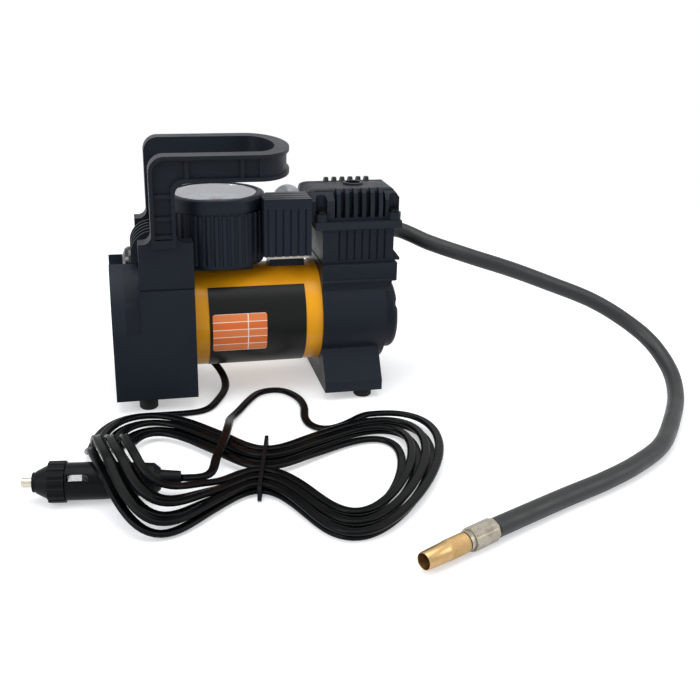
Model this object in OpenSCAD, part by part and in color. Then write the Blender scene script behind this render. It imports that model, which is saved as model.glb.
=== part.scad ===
// Portable 12 V tire inflator: motor in a round can between a rear housing and a crankcase,
// one upright cylinder, a pressure gauge, a rocker switch, a fixed handle, hose and power cord.

/* [Stance] */
// Height of the motor shaft above the ground
axis_z = 48; // [47:0.5:50]
// Height of the rear feet below the rear housing
rear_foot_h = 8.5; // [7:0.5:10]
// Height of the front feet below the crankcase pedestal
front_foot_h = 5.5; // [4:0.5:7]
// Radius of a foot's pad
foot_r = 5.6; // [4.8:0.1:6]
// Distance of the rear feet from the middle plane
rear_foot_y = 29; // [26:0.5:31]
// Distance of the front feet from the middle plane
front_foot_y = 32.5; // [29:0.5:34]

/* [Rear housing] */
// Length of the arched end cover
cover_len = 8; // [7:0.5:10]
// Length of the arched section in front of the cover
arch_len = 9; // [8.5:0.5:12]
// Length of the square section that carries the handle
block_len = 31; // [30:0.5:34]
// Half width of the rear housing, and radius of its arch
rear_half_w = 38.9; // [38:0.1:40]
// Height of the square section's top above the shaft
block_rise = 28; // [27:0.5:29]
// Wall of the rear housing
rear_wall = 2.5; // [2:0.1:3]
// Number of air slots in the end cover
vent_count = 7; // [3:1:9]
// Width of one air slot
vent_w = 2.4; // [1.5:0.1:3]

/* [Motor] */
// Outside radius of the motor can
can_r = 31.4; // [31:0.1:32]
// Wall of the motor can
can_wall = 1.6; // [1:0.1:2]
// Visible length of the motor can
can_len = 77.5; // [74:0.5:82]
// Radius of the motor shaft
shaft_r = 4; // [3.5:0.1:4.5]
// Radius of the armature
armature_r = 22.4; // [20:0.1:22.8]
// Thickness of a magnet
magnet_t = 6; // [4:0.1:6.2]
// Number of armature slots
slot_count = 12; // [8:1:14]
// Gap between the windings and the front plate
winding_gap = 4; // [3:0.5:8]
// Number of fan blades
blade_count = 7; // [5:1:11]
// Radius of the cooling fan
fan_r = 24; // [20:0.5:24]

/* [Crankcase] */
// Length of the crankcase drum
crank_len = 40; // [40:0.5:43]
// Depth of the round end cover
dome_len = 10.5; // [8:0.5:12]
// Radius of the crankcase drum
drum_r = 33; // [32.8:0.1:34]
// Radius of the round end cover
dome_r = 23; // [22:0.5:25]
// Half width of the shoulder below the cylinder
shoulder_half_w = 28; // [27:0.5:30]
// Height of the shoulder's top above the shaft
shoulder_rise = 35.8; // [35.4:0.1:37]
// Half width of the pedestal
pedestal_half_w = 40; // [38:0.5:41]
// Length of the pedestal along the motor
pedestal_len = 36; // [33:0.5:38]
// Height of the pedestal's lip
pedestal_lip = 6.5; // [4:0.5:9]

/* [Compressor] */
// Radius of the cylinder bore
bore_r = 15; // [14:0.1:15.5]
// Wall of the cylinder sleeve
sleeve_wall = 2; // [1.5:0.1:2.2]
// Stroke of the piston
stroke = 12; // [8:0.5:12]
// Half length of the cylinder block along the motor
block_half_l = 22; // [21:0.5:23]
// Half width of the cylinder block
block_half_w = 25; // [24:0.5:26]
// Height of the cylinder block
cylinder_h = 25.7; // [25:0.1:28]
// Thickness of the block's top flange
flange_t = 4.5; // [3.5:0.5:6]
// Length of the cylinder head
head_len = 54.5; // [52:0.5:56]
// Half width of the cylinder head
head_half_w = 22.5; // [22:0.5:24]
// Height of the cylinder head above the block
head_h = 17.2; // [16:0.1:19]
// Number of fins on each side of the head
fin_count = 6; // [4:1:7]
// Pitch of the head's fins
fin_pitch = 5.2; // [4.6:0.1:5.6]
// Thickness of a fin
fin_t = 2.4; // [1.6:0.1:3]

/* [Gauge] */
// Radius of the gauge drum
gauge_r = 29.8; // [28:0.1:30]
// Height of the gauge's top rim above the shaft
gauge_rise = 77; // [75:0.5:80]
// Height of the gauge from its underside to its rim
gauge_h = 41; // [38:0.5:41]
// Distance from the can's rear edge to the gauge's middle
gauge_setback = 16.6; // [16.6:0.1:18]
// Radius of the clear gauge lens
lens_r = 24.6; // [22:0.1:25]
// Height of the smooth bezel ring
bezel_h = 7.5; // [6:0.5:9]
// Number of flutes round the gauge
flute_count = 40; // [24:1:48]
// Depth of a flute
flute_d = 1.1; // [0.6:0.1:1.5]

/* [Switch] */
// Length of the switch block
switch_len = 28.4; // [26:0.1:29]
// Half width of the switch block
switch_half_w = 27; // [24:0.5:28]
// Height of the switch block's top above the shaft
switch_rise = 76.6; // [74:0.2:78]
// Depth of the switch block's raised front, and drop of the deck behind it
switch_front = 21; // [18:0.5:23]
deck_drop = 7.6; // [6.5:0.1:8.5]
// Radius of the round rubber cap
cap_r = 8.9; // [8.6:0.1:9.2]
// Height of the cap's collar and of its dome
collar_h = 2.6; // [2:0.1:3]
cap_h = 7.2; // [6.8:0.1:7.6]
// Tilt of the rocker between off and on
rocker_deg = 16; // [8:1:18]

/* [Handle] */
// Half width of the handle
handle_half_w = 41; // [40:0.5:43]
// Depth of a rail or a leg across the machine
rail_depth = 12; // [10:0.5:13]
// Height of the handle's top above the shaft
handle_rise = 105; // [102:0.5:112]
// Height of a rail
rail_h = 15; // [12:0.5:18]
// Length of a leg along the motor
leg_len = 14; // [12:0.5:16]
// Overhang of the rail's nose past the can's rear edge
nose_reach = 60.8; // [58:0.1:64]
// Height of the handle's base blocks
base_h = 27.5; // [24:0.5:30]
// Thickness of the rim around each side plate
rim_t = 2.2; // [1.6:0.1:3]
// Depth of the recess in each side plate
recess_d = 3; // [2:0.5:5]
// Radius of each side plate's rear top corner
handle_corner_r = 9; // [6:0.5:11]
// Length of the rounded nose
nose_len = 22; // [20:0.5:24]
// Thickness of the nose at its tip
nose_t = 8.6; // [7:0.1:11]

/* [Lamp] */
// Radius of the lamp lens
lamp_r = 8.7; // [7:0.1:9]
// Height of the lamp's axis above the shaft
lamp_rise = 36; // [35.5:0.5:37]
// Number of ribs on the lamp hood
hood_ribs = 5; // [3:1:7]
// Half width of the lamp hood
hood_half_w = 15; // [13:0.5:17]
// Height of the hood's top above the square section
hood_h = 29.5; // [26:0.5:31]
// Depth of the ribs on the hood
hood_rib_d = 2.5; // [1:0.1:3]

/* [Hose and chuck] */
// Outside diameter of the air hose
hose_d = 10; // [9:0.5:11]
// Bore of the air hose
hose_bore = 5; // [4:0.5:6]
// Length of the crimped ferrule
ferrule_len = 18; // [14:0.5:20]
// Outside radius of the ferrule's flats
ferrule_r = 5.9; // [5.8:0.1:6.2]
// Length of the brass chuck
chuck_len = 26; // [22:0.5:30]
// Radius of the tire valve thread in the chuck
valve_thread_r = 3.85; // [3.7:0.05:3.95]

/* [Power cord] */
// Width of the flat twin cord
cord_w = 5; // [4.8:0.1:5]
// Thickness of the flat twin cord
cord_t = 2.7; // [2.5:0.1:2.7]
// Number of turns in the hank
hank_turns = 5.8; // [3.8:1:5.8]
// Half length of the hank
hank_half_l = 92; // [88:1:94]

/* [Plug] */
// Radius of the plug's ribbed nut
nut_r = 10.4; // [10.3:0.1:10.5]
// Length of the ribbed nut
nut_len = 8.3; // [7:0.1:9]
// Number of ribs on the nut
nut_ribs = 16; // [12:1:24]
// Radius of the plug's body behind the nut
plug_r = 9.4; // [9:0.1:9.6]
// Length of the plug's body
plug_len = 46; // [44:0.5:48]
// Travel of the sprung centre tip
tip_travel = 3; // [1:0.5:3.5]
// Travel of a sprung side contact
contact_travel = 1.2; // [0.5:0.1:1.3]

/* [Hidden] */

// Smoothness of true circles and of rounded corners
$fn = 64;
// Gap between seated pieces of one body
seat = 0.1;
// Radial clearance of a running fit
run = 0.05;
// Clearance between bodies that move past each other
clear = 0.3;
// Overlap used where a cut passes through a face
eps = 0.5;

// Heights above the ground
block_z = axis_z + block_rise;
shoulder_z = axis_z + shoulder_rise;
cyl_top_z = shoulder_z + cylinder_h;
gauge_top_z = axis_z + gauge_rise;
gauge_low_z = gauge_top_z - gauge_h;
switch_top_z = axis_z + switch_rise;
handle_top_z = axis_z + handle_rise;
lamp_z = axis_z + lamp_rise;

// Stations along the motor axis
total_len = cover_len + arch_len + block_len + can_len + crank_len + dome_len;
x_cover = -total_len / 2;
x_arch = x_cover + cover_len;
x_block = x_arch + arch_len;
x_can = x_block + block_len;
x_crank = x_can + can_len;
x_dome = x_crank + crank_len;
x_end = x_dome + dome_len;

/* ---------- small shape helpers ---------- */
module bar(x0, x1, y0, y1, z0, z1) {
    translate([x0, y0, z0]) cube([x1 - x0, y1 - y0, z1 - z0]);
}
module along_x(x0, x1, r, y = 0, z = axis_z) {
    translate([x0, y, z]) rotate([0, 90, 0]) cylinder(h = x1 - x0, r = r);
}
module along_y(y0, y1, r, x, z) {
    translate([x, y0, z]) rotate([-90, 0, 0]) cylinder(h = y1 - y0, r = r);
}
module along_z(z0, z1, r, x, y) {
    translate([x, y, z0]) cylinder(h = z1 - z0, r = r);
}
// Rotates a profile drawn as [x along the motor, radius] about an axis parallel to the motor
module lathe_x(z = axis_z) {
    translate([0, 0, z]) rotate([0, 90, 0]) rotate_extrude() rotate([0, 0, 90]) mirror([0, 1]) children();
}
// Extrudes an outline drawn in [y, z] from x0 to x1
module slab_x(x0, x1) {
    translate([x0, 0, 0]) rotate([90, 0, 90]) linear_extrude(x1 - x0) children();
}
// Extrudes an outline drawn in [x, z] from y0 to y1
module slab_y(y0, y1) {
    translate([0, y1, 0]) rotate([90, 0, 0]) linear_extrude(y1 - y0) children();
}

/* ---------- rear housing, cover and handle ---------- */
rear_low_z = rear_foot_h;
// Depth of the cover's lip inside the housing
lip_len = 3;
lip_t = 2;
// Half width of the notch in the arch that the lamp shines through
notch_half_w = lamp_r + 2.4;
notch_low_z = lamp_z - lamp_r - 3;
// Wall of the tray around the notch
tray_wall = 2.5;
// Radius of the screw posts, of their pilot holes and of the screw heads
post_r = 4.4;
pilot_r = 1.3;
screw_r = 1.2;
head_r = 2.9;
head_t = 2;
// Screw posts of the cover, as [half width, height]
cover_posts = [[rear_half_w - rear_wall - post_r + 1, rear_low_z + rear_wall + post_r - 1],
    [rear_half_w - rear_wall - post_r + 0.6, axis_z + 9]];

// Outline of the arch, shrunk by d
module arch_outline(d = 0) {
    translate([0, axis_z]) circle(r = rear_half_w - d);
    translate([-(rear_half_w - d), rear_low_z + d])
        square([2 * (rear_half_w - d), axis_z - rear_low_z - d]);
}
module box_outline(d = 0) {
    translate([-(rear_half_w - d), rear_low_z + d])
        square([2 * (rear_half_w - d), block_z - rear_low_z - 2 * d]);
}
module notch_box(grow, x0, x1) {
    bar(x0, x1, -notch_half_w - grow, notch_half_w + grow, notch_low_z - grow, axis_z + rear_half_w + 5);
}
module rear_housing() color([0.14, 0.16, 0.19]) {
    difference() {
        union() {
            difference() {
                union() {
                    slab_x(x_arch, x_block) arch_outline();
                    slab_x(x_block - eps, x_can) box_outline();
                }
                slab_x(x_arch - eps, x_block + rear_wall + eps) arch_outline(rear_wall);
                slab_x(x_block + rear_wall, x_can - rear_wall) box_outline(rear_wall);
            }
            along_x(x_can - eps, x_can + spigot_len, can_r - can_wall - seat);
            intersection() {
                notch_box(tray_wall, x_arch + lip_len + seat, x_block);
                slab_x(x_arch, x_block) arch_outline();
            }
            for (side = [-1, 1], p = cover_posts)
                along_x(x_arch + lip_len + seat, x_block + 6, post_r, side * p[0], p[1]);
            for (side = [-1, 1], x = handle_screw_x)
                along_z(block_z - handle_screw_len, block_z, post_r, x, side * handle_screw_y);
        }
        notch_box(0, x_arch - eps, x_block + seat);
        along_x(x_can - rear_wall - eps, x_can + spigot_len + eps, spigot_in_r);
        for (side = [-1, 1], p = cover_posts)
            along_x(x_arch - eps, x_block + 4, pilot_r, side * p[0], p[1]);
        for (side = [-1, 1], x = handle_screw_x)
            along_z(block_z - handle_screw_len + 2, block_z + eps, pilot_r, x, side * handle_screw_y);
        for (side = [-1, 1])
            along_z(rear_low_z - eps, rear_low_z + rear_wall + eps, foot_stem_r + seat, rear_foot_x, side * rear_foot_y);
        along_x(x_can - rear_wall - eps, x_can + eps, relief_neck_r + seat, cord_exit_y, cord_exit_z);
    }
}
module rear_cover() color([0.14, 0.16, 0.19]) difference() {
    union() {
        difference() {
            slab_x(x_cover, x_arch) arch_outline();
            slab_x(x_cover + rear_wall, x_arch + eps) arch_outline(rear_wall);
        }
        difference() {
            slab_x(x_cover + rear_wall - eps, x_arch + lip_len) arch_outline(rear_wall + seat);
            slab_x(x_cover + rear_wall, x_arch + lip_len + eps) arch_outline(rear_wall + seat + lip_t);
        }
        intersection() {
            notch_box(tray_wall, x_cover, x_arch);
            slab_x(x_cover, x_arch) arch_outline();
        }
        for (side = [-1, 1], p = cover_posts) along_x(x_cover + 1, x_arch, post_r, side * p[0], p[1]);
        intersection() {
            for (side = [-1, 1], p = cover_posts) along_x(x_arch - eps, x_arch + lip_len, post_r, side * p[0], p[1]);
            slab_x(x_arch - 1, x_arch + lip_len + 1) arch_outline(rear_wall + seat);
        }
    }
    notch_box(0, x_cover - eps, x_arch + lip_len + eps);
    for (side = [-1, 1], p = cover_posts) {
        along_x(x_cover - eps, x_arch + lip_len + eps, screw_r + clear, side * p[0], p[1]);
        along_x(x_cover - eps, x_cover + head_t, head_r + clear, side * p[0], p[1]);
    }
    for (i = [0:vent_count - 1]) {
        z = axis_z - 8 + (i - (vent_count - 1) / 2) * 2 * vent_w;
        bar(x_cover - eps, x_cover + rear_wall + eps, -vent_half_w, vent_half_w, z, z + vent_w);
    }
}
vent_half_w = 20;
module cover_screws() color("silver")
    for (side = [-1, 1], p = cover_posts) {
        along_x(x_cover + 0.2, x_cover + head_t, head_r, side * p[0], p[1]);
        along_x(x_cover + head_t - eps, x_arch + lip_len + 5, screw_r, side * p[0], p[1]);
    }

// Handle: side plates in one plane, joined by the rounded nose and by a bridge at the foot
groove_h = 1;
groove_d = 0.8;
bridge_t = 3.2;
leg_x = x_block + 7.5;
rail_low_z = handle_top_z - rail_h;
base_top_z = block_z + base_h;
nose_x = x_can + nose_reach;
straight_x = nose_x - nose_len;
nose_recess = 1.6;
nose_steps = 24;
leg_fillet = 7;
block_half_in = handle_half_w - rail_depth - 2;
handle_screw_x = [x_block + 13, x_can - 6];
handle_screw_y = block_half_in - head_r - 1.1;
handle_screw_len = 8;

// Corner fillet of radius r in the quadrant [sx, sz] from the corner
module corner_fill(x, z, sx, sz, r) {
    difference() {
        translate([x + (sx < 0 ? -r : -eps), z + (sz < 0 ? -r : -eps)]) square(r + eps);
        translate([x + sx * r, z + sz * r]) circle(r = r);
    }
}
// Outline of a side plate in [x, z], shrunk by d all round
module side_outline(d = 0) {
    difference() {
        union() {
            translate([leg_x + d, base_top_z - 2 + 2 * d]) square([leg_len - 2 * d, rail_low_z - base_top_z + 4]);
            translate([leg_x + d, rail_low_z + d]) square([straight_x - leg_x - d + eps, rail_h - 2 * d]);
        }
        corner_fill(leg_x + d, handle_top_z - d, 1, -1, handle_corner_r - d);
    }
    corner_fill(leg_x + leg_len - d, rail_low_z + d, 1, -1, leg_fillet);
}
module base_outline() {
    translate([x_block, block_z + groove_h]) square([block_len, base_h - groove_h]);
    corner_fill(leg_x, base_top_z, -1, 1, leg_fillet - 2);
    corner_fill(leg_x + leg_len, base_top_z, 1, 1, leg_fillet - 2);
}
// Plan of the rounded nose, half an ellipse, d narrower on each side and its tip set back
module nose_plan(d = 0, back = 0) polygon(concat(
    [[straight_x - eps, -(handle_half_w - d)]],
    [for (i = [0:nose_steps]) let (a = -90 + 180 * i / nose_steps)
        [straight_x + (nose_len - back) * cos(a), (handle_half_w - d) * sin(a)]],
    [[straight_x - eps, handle_half_w - d]]));
module handle() color([0.14, 0.16, 0.19]) difference() {
    union() {
        for (side = [-1, 1]) {
            y_out = side * handle_half_w;
            y_in = side * (handle_half_w - rail_depth);
            difference() {
                slab_y(min(y_out, y_in), max(y_out, y_in)) side_outline();
                slab_y(min(y_out + side * eps, y_out - side * recess_d), max(y_out + side * eps, y_out - side * recess_d))
                    side_outline(rim_t);
            }
            y_block = side * rear_half_w;
            y_deep = side * block_half_in;
            slab_y(min(y_block, y_deep), max(y_block, y_deep)) base_outline();
            bar(x_block + groove_d, x_can - groove_d, min(y_block - side * groove_d, y_deep),
                max(y_block - side * groove_d, y_deep), block_z, block_z + groove_h + eps);
            for (z = leg_ribs) bar(leg_x + eps, leg_x + leg_len - eps, min(y_in, y_out - side * 1), max(y_in, y_out - side * 1), z, z + rim_t);
            for (x = rail_ribs) bar(x, x + rim_t, min(y_in, y_out - side * 1), max(y_in, y_out - side * 1), rail_low_z + 1, handle_top_z - 1);
        }
        translate([0, 0, rail_low_z]) linear_extrude(rail_h) difference() {
            nose_plan();
            nose_plan(rail_depth, nose_t);
        }
        bar(x_block + groove_d, x_can - groove_d, -block_half_in - eps, block_half_in + eps, block_z, block_z + bridge_t);
    }
    translate([0, 0, rail_low_z + rim_t]) linear_extrude(rail_h - 2 * rim_t) difference() {
        nose_plan(-1, -1);
        nose_plan(nose_recess, nose_recess);
    }
    for (side = [-1, 1], x = handle_screw_x)
        along_z(block_z - eps, block_z + bridge_t + eps, screw_r + clear, x, side * handle_screw_y);
}
leg_ribs = [base_top_z + 3, base_top_z + 13.5, base_top_z + 26];
rail_ribs = [leg_x + leg_len + 6, leg_x + leg_len + 37];
module handle_screws() color("silver")
    for (side = [-1, 1], x = handle_screw_x) {
        along_z(block_z + bridge_t, block_z + bridge_t + head_t, head_r, x, side * handle_screw_y);
        along_z(block_z - handle_screw_len + 3, block_z + bridge_t + seat, screw_r, x, side * handle_screw_y);
    }

/* ---------- work lamp ---------- */
lamp_front = x_arch + 0.5;
lamp_seat_x = x_block - 2.2;
lamp_back_x = x_block + 11;
lamp_wall = 1.8;
lamp_flat_z = block_z + bridge_t + seat;
led_bore_r = lamp_z - lamp_flat_z - 0.3;
hood_x0 = x_block - 3.7;
hood_r = 13;
hood_top_z = block_z + hood_h;
hood_rib_t = 1.6;
// Side outline of the hood in [x, z], shrunk by d at its front and top, longer by more at its back
module hood_outline(d = 0, more = 0) {
    low = hood_top_z - hood_r;
    translate([hood_x0 + hood_r, low]) intersection() {
        circle(r = hood_r - d);
        translate([-hood_r, -eps]) square(hood_r + eps);
    }
    translate([hood_x0 + d, lamp_flat_z]) square([hood_r - d + eps, low - lamp_flat_z]);
    translate([hood_x0 + hood_r, lamp_flat_z])
        square([lamp_back_x + more - hood_x0 - hood_r, hood_top_z - d - lamp_flat_z]);
}
module lamp_bezel() color([0.1, 0.11, 0.12]) difference() {
    union() {
        slab_y(-hood_half_w, hood_half_w) hood_outline(hood_rib_d);
        for (i = [0:hood_ribs - 1]) {
            y = (hood_half_w - hood_rib_t / 2) * (2 * i / (hood_ribs - 1) - 1);
            slab_y(y - hood_rib_t / 2, y + hood_rib_t / 2) hood_outline();
        }
    }
    for (side = [-1, 1]) {
        y = side * (notch_half_w - clear);
        bar(hood_x0 - 1, x_block + seat, min(y, side * 2 * hood_half_w), max(y, side * 2 * hood_half_w),
            lamp_flat_z - 1, axis_z + rear_half_w + clear);
    }
    intersection() {
        slab_y(-hood_half_w + lamp_wall, hood_half_w - lamp_wall) hood_outline(hood_rib_d + lamp_wall, eps);
        bar(hood_x0, lamp_back_x + 1, -hood_half_w, hood_half_w, lamp_z + lamp_r + lamp_wall, hood_top_z);
    }
    along_x(lamp_seat_x - eps, lamp_back_x - lamp_wall, led_bore_r, 0, lamp_z);
    along_x(hood_x0 - 1, lamp_seat_x + 2, lamp_r + seat, 0, lamp_z);
}
module lamp_lens() color([0.75, 0.74, 0.7, 0.6]) lathe_x(lamp_z) polygon([
    [lamp_seat_x + 2, 0], [lamp_seat_x + 2, lamp_r], [lamp_seat_x - 3, lamp_r],
    [lamp_seat_x - 5, lamp_r - 1.2], [lamp_front - 0.2, lamp_r - 5], [lamp_front - 0.4, 0]]);
module lamp_led() color("white") {
    along_x(lamp_back_x - lamp_wall - 1.6, lamp_back_x - lamp_wall - seat, led_bore_r - seat, 0, lamp_z);
    along_x(lamp_back_x - lamp_wall - 3.4, lamp_back_x - lamp_wall - 1.5, 2.5, 0, lamp_z);
}

/* ---------- motor ---------- */
can_in_r = can_r - can_wall;
can_front = x_crank + 4.5;
// Ring on the rear housing that centres the can
spigot_len = 2.6;
spigot_in_r = can_in_r - 2.4;
bell_x = x_can + spigot_len + seat;
bell_t = 4;
bush_r = 5.5;
hub_r = 8.5;
hub_back = x_can - 4;
comm_x = bell_x + bell_t + 1.2;
comm_len = 8.5;
comm_r = 9.5;
core_x = comm_x + comm_len + 9;
turn_len = 6.5;
turn_r = armature_r - 1.6;
slot_ring_r = armature_r - 4.6;
slot_r = 2.3;
plate_x = can_front - 6;
core_end = plate_x - winding_gap - turn_len - seat;
flange_x = can_front + 3;
bearing_r = 11;
bearing_len = 7;
bearing_x = flange_x - bearing_len;
fan_x = x_can - 22;
fan_len = 9;
shaft_back = fan_x - 3;
crank_x = flange_x + 1.5;
magnet_half_h = 20;
magnet_split = 8;
crank_t = 7;

module motor_can() color([0.85, 0.58, 0.1]) difference() {
    along_x(x_can + seat, can_front, can_r);
    along_x(x_can - eps, can_front + eps, can_in_r);
}
// Angles above and below the shaft between which the label plate wraps the can
label_top_deg = 47;
label_low_deg = -66;
label_t = 0.35;
label_x0 = x_can + 8.6;
label_len = 58.6;
module label_plate() color([0.07, 0.07, 0.08])
    translate([label_x0, 0, axis_z]) rotate([0, 90, 0]) rotate([0, 0, -90 - label_top_deg])
        rotate_extrude(angle = label_top_deg - label_low_deg)
            translate([can_r + 0.02, 0]) square([label_t, label_len]);
module motor_rear_bell() color([0.2, 0.2, 0.22]) difference() {
    union() {
        along_x(bell_x, bell_x + bell_t, can_in_r - seat);
        along_x(hub_back, bell_x + bell_t + 0.6, hub_r);
        for (side = [-1, 1])
            bar(bell_x + bell_t - eps, comm_x + comm_len + 0.4, side > 0 ? 11 : -23, side > 0 ? 23 : -11,
                axis_z - 5.5, axis_z + 5.5);
    }
    along_x(hub_back - eps, bell_x + bell_t + 1, bush_r);
    for (side = [-1, 1])
        bar(brush_x - seat, brush_x + brush_w + seat, side > 0 ? 9 : -brush_out - seat, side > 0 ? brush_out + seat : -9,
            axis_z - brush_w / 2 - 0.6, axis_z + brush_w / 2 + 0.6);
    for (a = [45:90:315]) rotate_about_x(a) along_x(bell_x - eps, bell_x + bell_t + eps, 4.5, 0, axis_z + 18);
}
module rotate_about_x(a) {
    translate([0, 0, axis_z]) rotate([a, 0, 0]) translate([0, 0, -axis_z]) children();
}
brush_w = 5;
brush_x = comm_x + (comm_len - brush_w) / 2;
brush_out = 21;
module rear_bush() color("peru") difference() {
    along_x(hub_back + 0.5, bell_x + bell_t + 0.5, bush_r - 0.02);
    along_x(hub_back - eps, bell_x + bell_t + 1, shaft_r + run);
}
module brushes() color([0.25, 0.25, 0.25]) for (side = [-1, 1])
    bar(brush_x, brush_x + brush_w, side > 0 ? comm_r + clear : -brush_out, side > 0 ? brush_out : -comm_r - clear,
        axis_z - brush_w / 2 - 0.5, axis_z + brush_w / 2 + 0.5);
module front_plate() color("silver") difference() {
    union() {
        along_x(plate_x, can_front, can_in_r - seat);
        along_x(can_front + seat, flange_x, can_r);
        along_x(can_front - eps, can_front + 1, can_in_r - 1);
    }
    along_x(bearing_x, flange_x + eps, bearing_r + 0.02);
    along_x(plate_x - eps, flange_x + eps, shaft_r + 2);
}
module front_bearing() color("gainsboro") difference() {
    along_x(bearing_x + seat, flange_x - seat, bearing_r);
    along_x(bearing_x - eps, flange_x + eps, shaft_r + run);
}
module magnets() color([0.3, 0.3, 0.32]) difference() {
    intersection() {
        along_x(core_x - 3, core_end + 3, can_in_r - seat);
        for (side = [-1, 1]) bar(core_x - 3, core_end + 3, side > 0 ? magnet_split : -can_r, side > 0 ? can_r : -magnet_split,
            axis_z - magnet_half_h, axis_z + magnet_half_h);
    }
    along_x(core_x - 4, core_end + 4, can_in_r - magnet_t);
}
module armature_core() color([0.45, 0.45, 0.47]) difference() {
    along_x(core_x, core_end, armature_r);
    along_x(core_x - eps, core_end + eps, shaft_r + 0.02);
    for (i = [0:slot_count - 1]) rotate_about_x(i * 360 / slot_count) {
        along_x(core_x - eps, core_end + eps, slot_r, 0, axis_z + slot_ring_r);
        bar(core_x - eps, core_end + eps, -0.8, 0.8, axis_z + slot_ring_r, axis_z + armature_r + 1);
    }
}
module windings() color([0.72, 0.38, 0.2]) {
    for (i = [0:slot_count - 1]) rotate_about_x(i * 360 / slot_count)
        along_x(core_x - 1, core_end + 1, slot_r - seat, 0, axis_z + slot_ring_r);
    for (x = [core_x - seat - turn_len, core_end + seat]) difference() {
        along_x(x, x + turn_len, turn_r);
        along_x(x - eps, x + turn_len + eps, shaft_r + 3);
    }
}
module commutator() color([0.8, 0.5, 0.3]) difference() {
    along_x(comm_x, comm_x + comm_len, comm_r);
    along_x(comm_x - eps, comm_x + comm_len + eps, shaft_r + 0.02);
    for (i = [0:slot_count - 1]) rotate_about_x((i + 0.5) * 360 / slot_count)
        bar(comm_x - eps, comm_x + comm_len + eps, -0.25, 0.25, axis_z + comm_r - 0.8, axis_z + comm_r + 1);
}
module motor_shaft() color("lightgrey") along_x(shaft_back, crank_x + crank_t - 0.5, shaft_r);
module cooling_fan() color([0.15, 0.15, 0.16]) difference() {
    union() {
        along_x(fan_x, fan_x + fan_len, shaft_r + 3);
        along_x(fan_x + fan_len - 2, fan_x + fan_len, fan_r - 4);
        for (i = [0:blade_count - 1]) rotate_about_x(i * 360 / blade_count)
            bar(fan_x, fan_x + fan_len - 1.5, -0.8, 0.8, axis_z + shaft_r + 2, axis_z + fan_r);
    }
    along_x(fan_x - eps, fan_x + fan_len + eps, shaft_r + 0.02);
}

/* ---------- crankcase and compressor ---------- */
cyl_x = x_crank + 22.5;
crank_e = stroke / 2;
big_z = axis_z + crank_e;
rod_t = 7;
rod_x = cyl_x - rod_t / 2;
pin_r = 4;
rod_bearing_r = 8;
big_r = 11;
cavity_r = 24;
// Radius of the crank disc and of its counterweight
disc_r = 15;
weight_r = 20;
sleeve_low_z = shoulder_z - 3.5;
case_wall = 2.5;
dome_z = axis_z - 4.5;
dome_bolt_r = 19.4;
dome_open_r = 16;
lip_z = front_foot_h + pedestal_lip;
waist_z = axis_z - 18;
shoulder_low_z = shoulder_z - 11.4;
neck_half_w = shoulder_half_w - 1.2;
// Ledge along the foot of the shoulder
ledge_d = 0.5;
ledge_h = 1.6;
ledge_low_z = shoulder_low_z;
pedestal_x1 = x_crank + pedestal_len;
// Raised rim of the end cover and rounding of its edge
dome_round = 4;

module pedestal_outline(grow = 0) polygon([
    [-pedestal_half_w, front_foot_h], [pedestal_half_w, front_foot_h], [pedestal_half_w, lip_z],
    [drum_r - 5, waist_z], [drum_r - 5, axis_z], [-(drum_r - 5), axis_z], [-(drum_r - 5), waist_z],
    [-pedestal_half_w, lip_z]]);
module crankcase() color([0.14, 0.16, 0.19]) difference() {
    union() {
        along_x(x_crank, x_dome, drum_r);
        slab_x(x_crank, pedestal_x1) pedestal_outline();
        slab_y(-neck_half_w, neck_half_w) polygon([
            [x_crank, axis_z + 15], [x_dome, axis_z + 15], [x_dome, dome_z + dome_r + 0.6],
            [x_dome + 3, dome_z + dome_r + 1.6], [x_dome + 5, shoulder_z - 8],
            [x_dome + 5, shoulder_z - 1], [x_crank, shoulder_z - 1]]);
        bar(x_crank, x_dome + 6.5, -shoulder_half_w, shoulder_half_w, shoulder_low_z, shoulder_z);
        bar(x_crank, x_dome + 5.5, -shoulder_half_w - ledge_d, shoulder_half_w + ledge_d, ledge_low_z, ledge_low_z + ledge_h);
    }
    along_x(x_crank - eps, flange_x + seat, can_r + seat);
    along_x(flange_x, x_dome - case_wall, cavity_r);
    along_x(x_dome - case_wall - eps, x_dome + eps, dome_open_r, 0, dome_z);
    along_z(axis_z, sleeve_low_z + eps, rod_open_r, cyl_x, 0);
    along_z(sleeve_low_z, shoulder_z + eps, bore_r + sleeve_wall + seat, cyl_x, 0);
    for (a = dome_bolts) along_x(x_dome - 8, x_dome + eps, pilot_r, dome_bolt_r * sin(a), dome_z + dome_bolt_r * cos(a));
    bar(x_crank + case_wall, pedestal_x1 - case_wall, -pocket_half_w, pocket_half_w, front_foot_h - eps, lip_z + 3);
    for (side = [-1, 1])
        along_z(front_foot_h - eps, front_foot_h + 3, foot_stem_r + seat, front_foot_x, side * front_foot_y);
}
rod_open_r = 12;
pocket_half_w = 24;
dome_bolts = [60, 180, 300];
module crankcase_cover() color([0.14, 0.16, 0.19]) difference() {
    union() {
        along_x(x_dome, x_end - dome_round, dome_r, 0, dome_z);
        along_x(x_dome, x_end, dome_r - dome_round, 0, dome_z);
        lathe_x(dome_z) translate([x_end - dome_round, dome_r - dome_round]) intersection() {
            circle(r = dome_round);
            square(dome_round + 1);
        }
        along_x(x_dome - case_wall, x_dome + eps, dome_open_r - seat, 0, dome_z);
    }
    along_x(x_dome - case_wall - eps, x_end - case_wall, dome_open_r - seat - case_wall, 0, dome_z);
    for (a = dome_bolts) {
        along_x(x_dome - eps, x_end + eps, screw_r + clear, dome_bolt_r * sin(a), dome_z + dome_bolt_r * cos(a));
        along_x(x_dome + 4, x_end + eps, head_r + 0.2, dome_bolt_r * sin(a), dome_z + dome_bolt_r * cos(a));
    }
}
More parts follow.
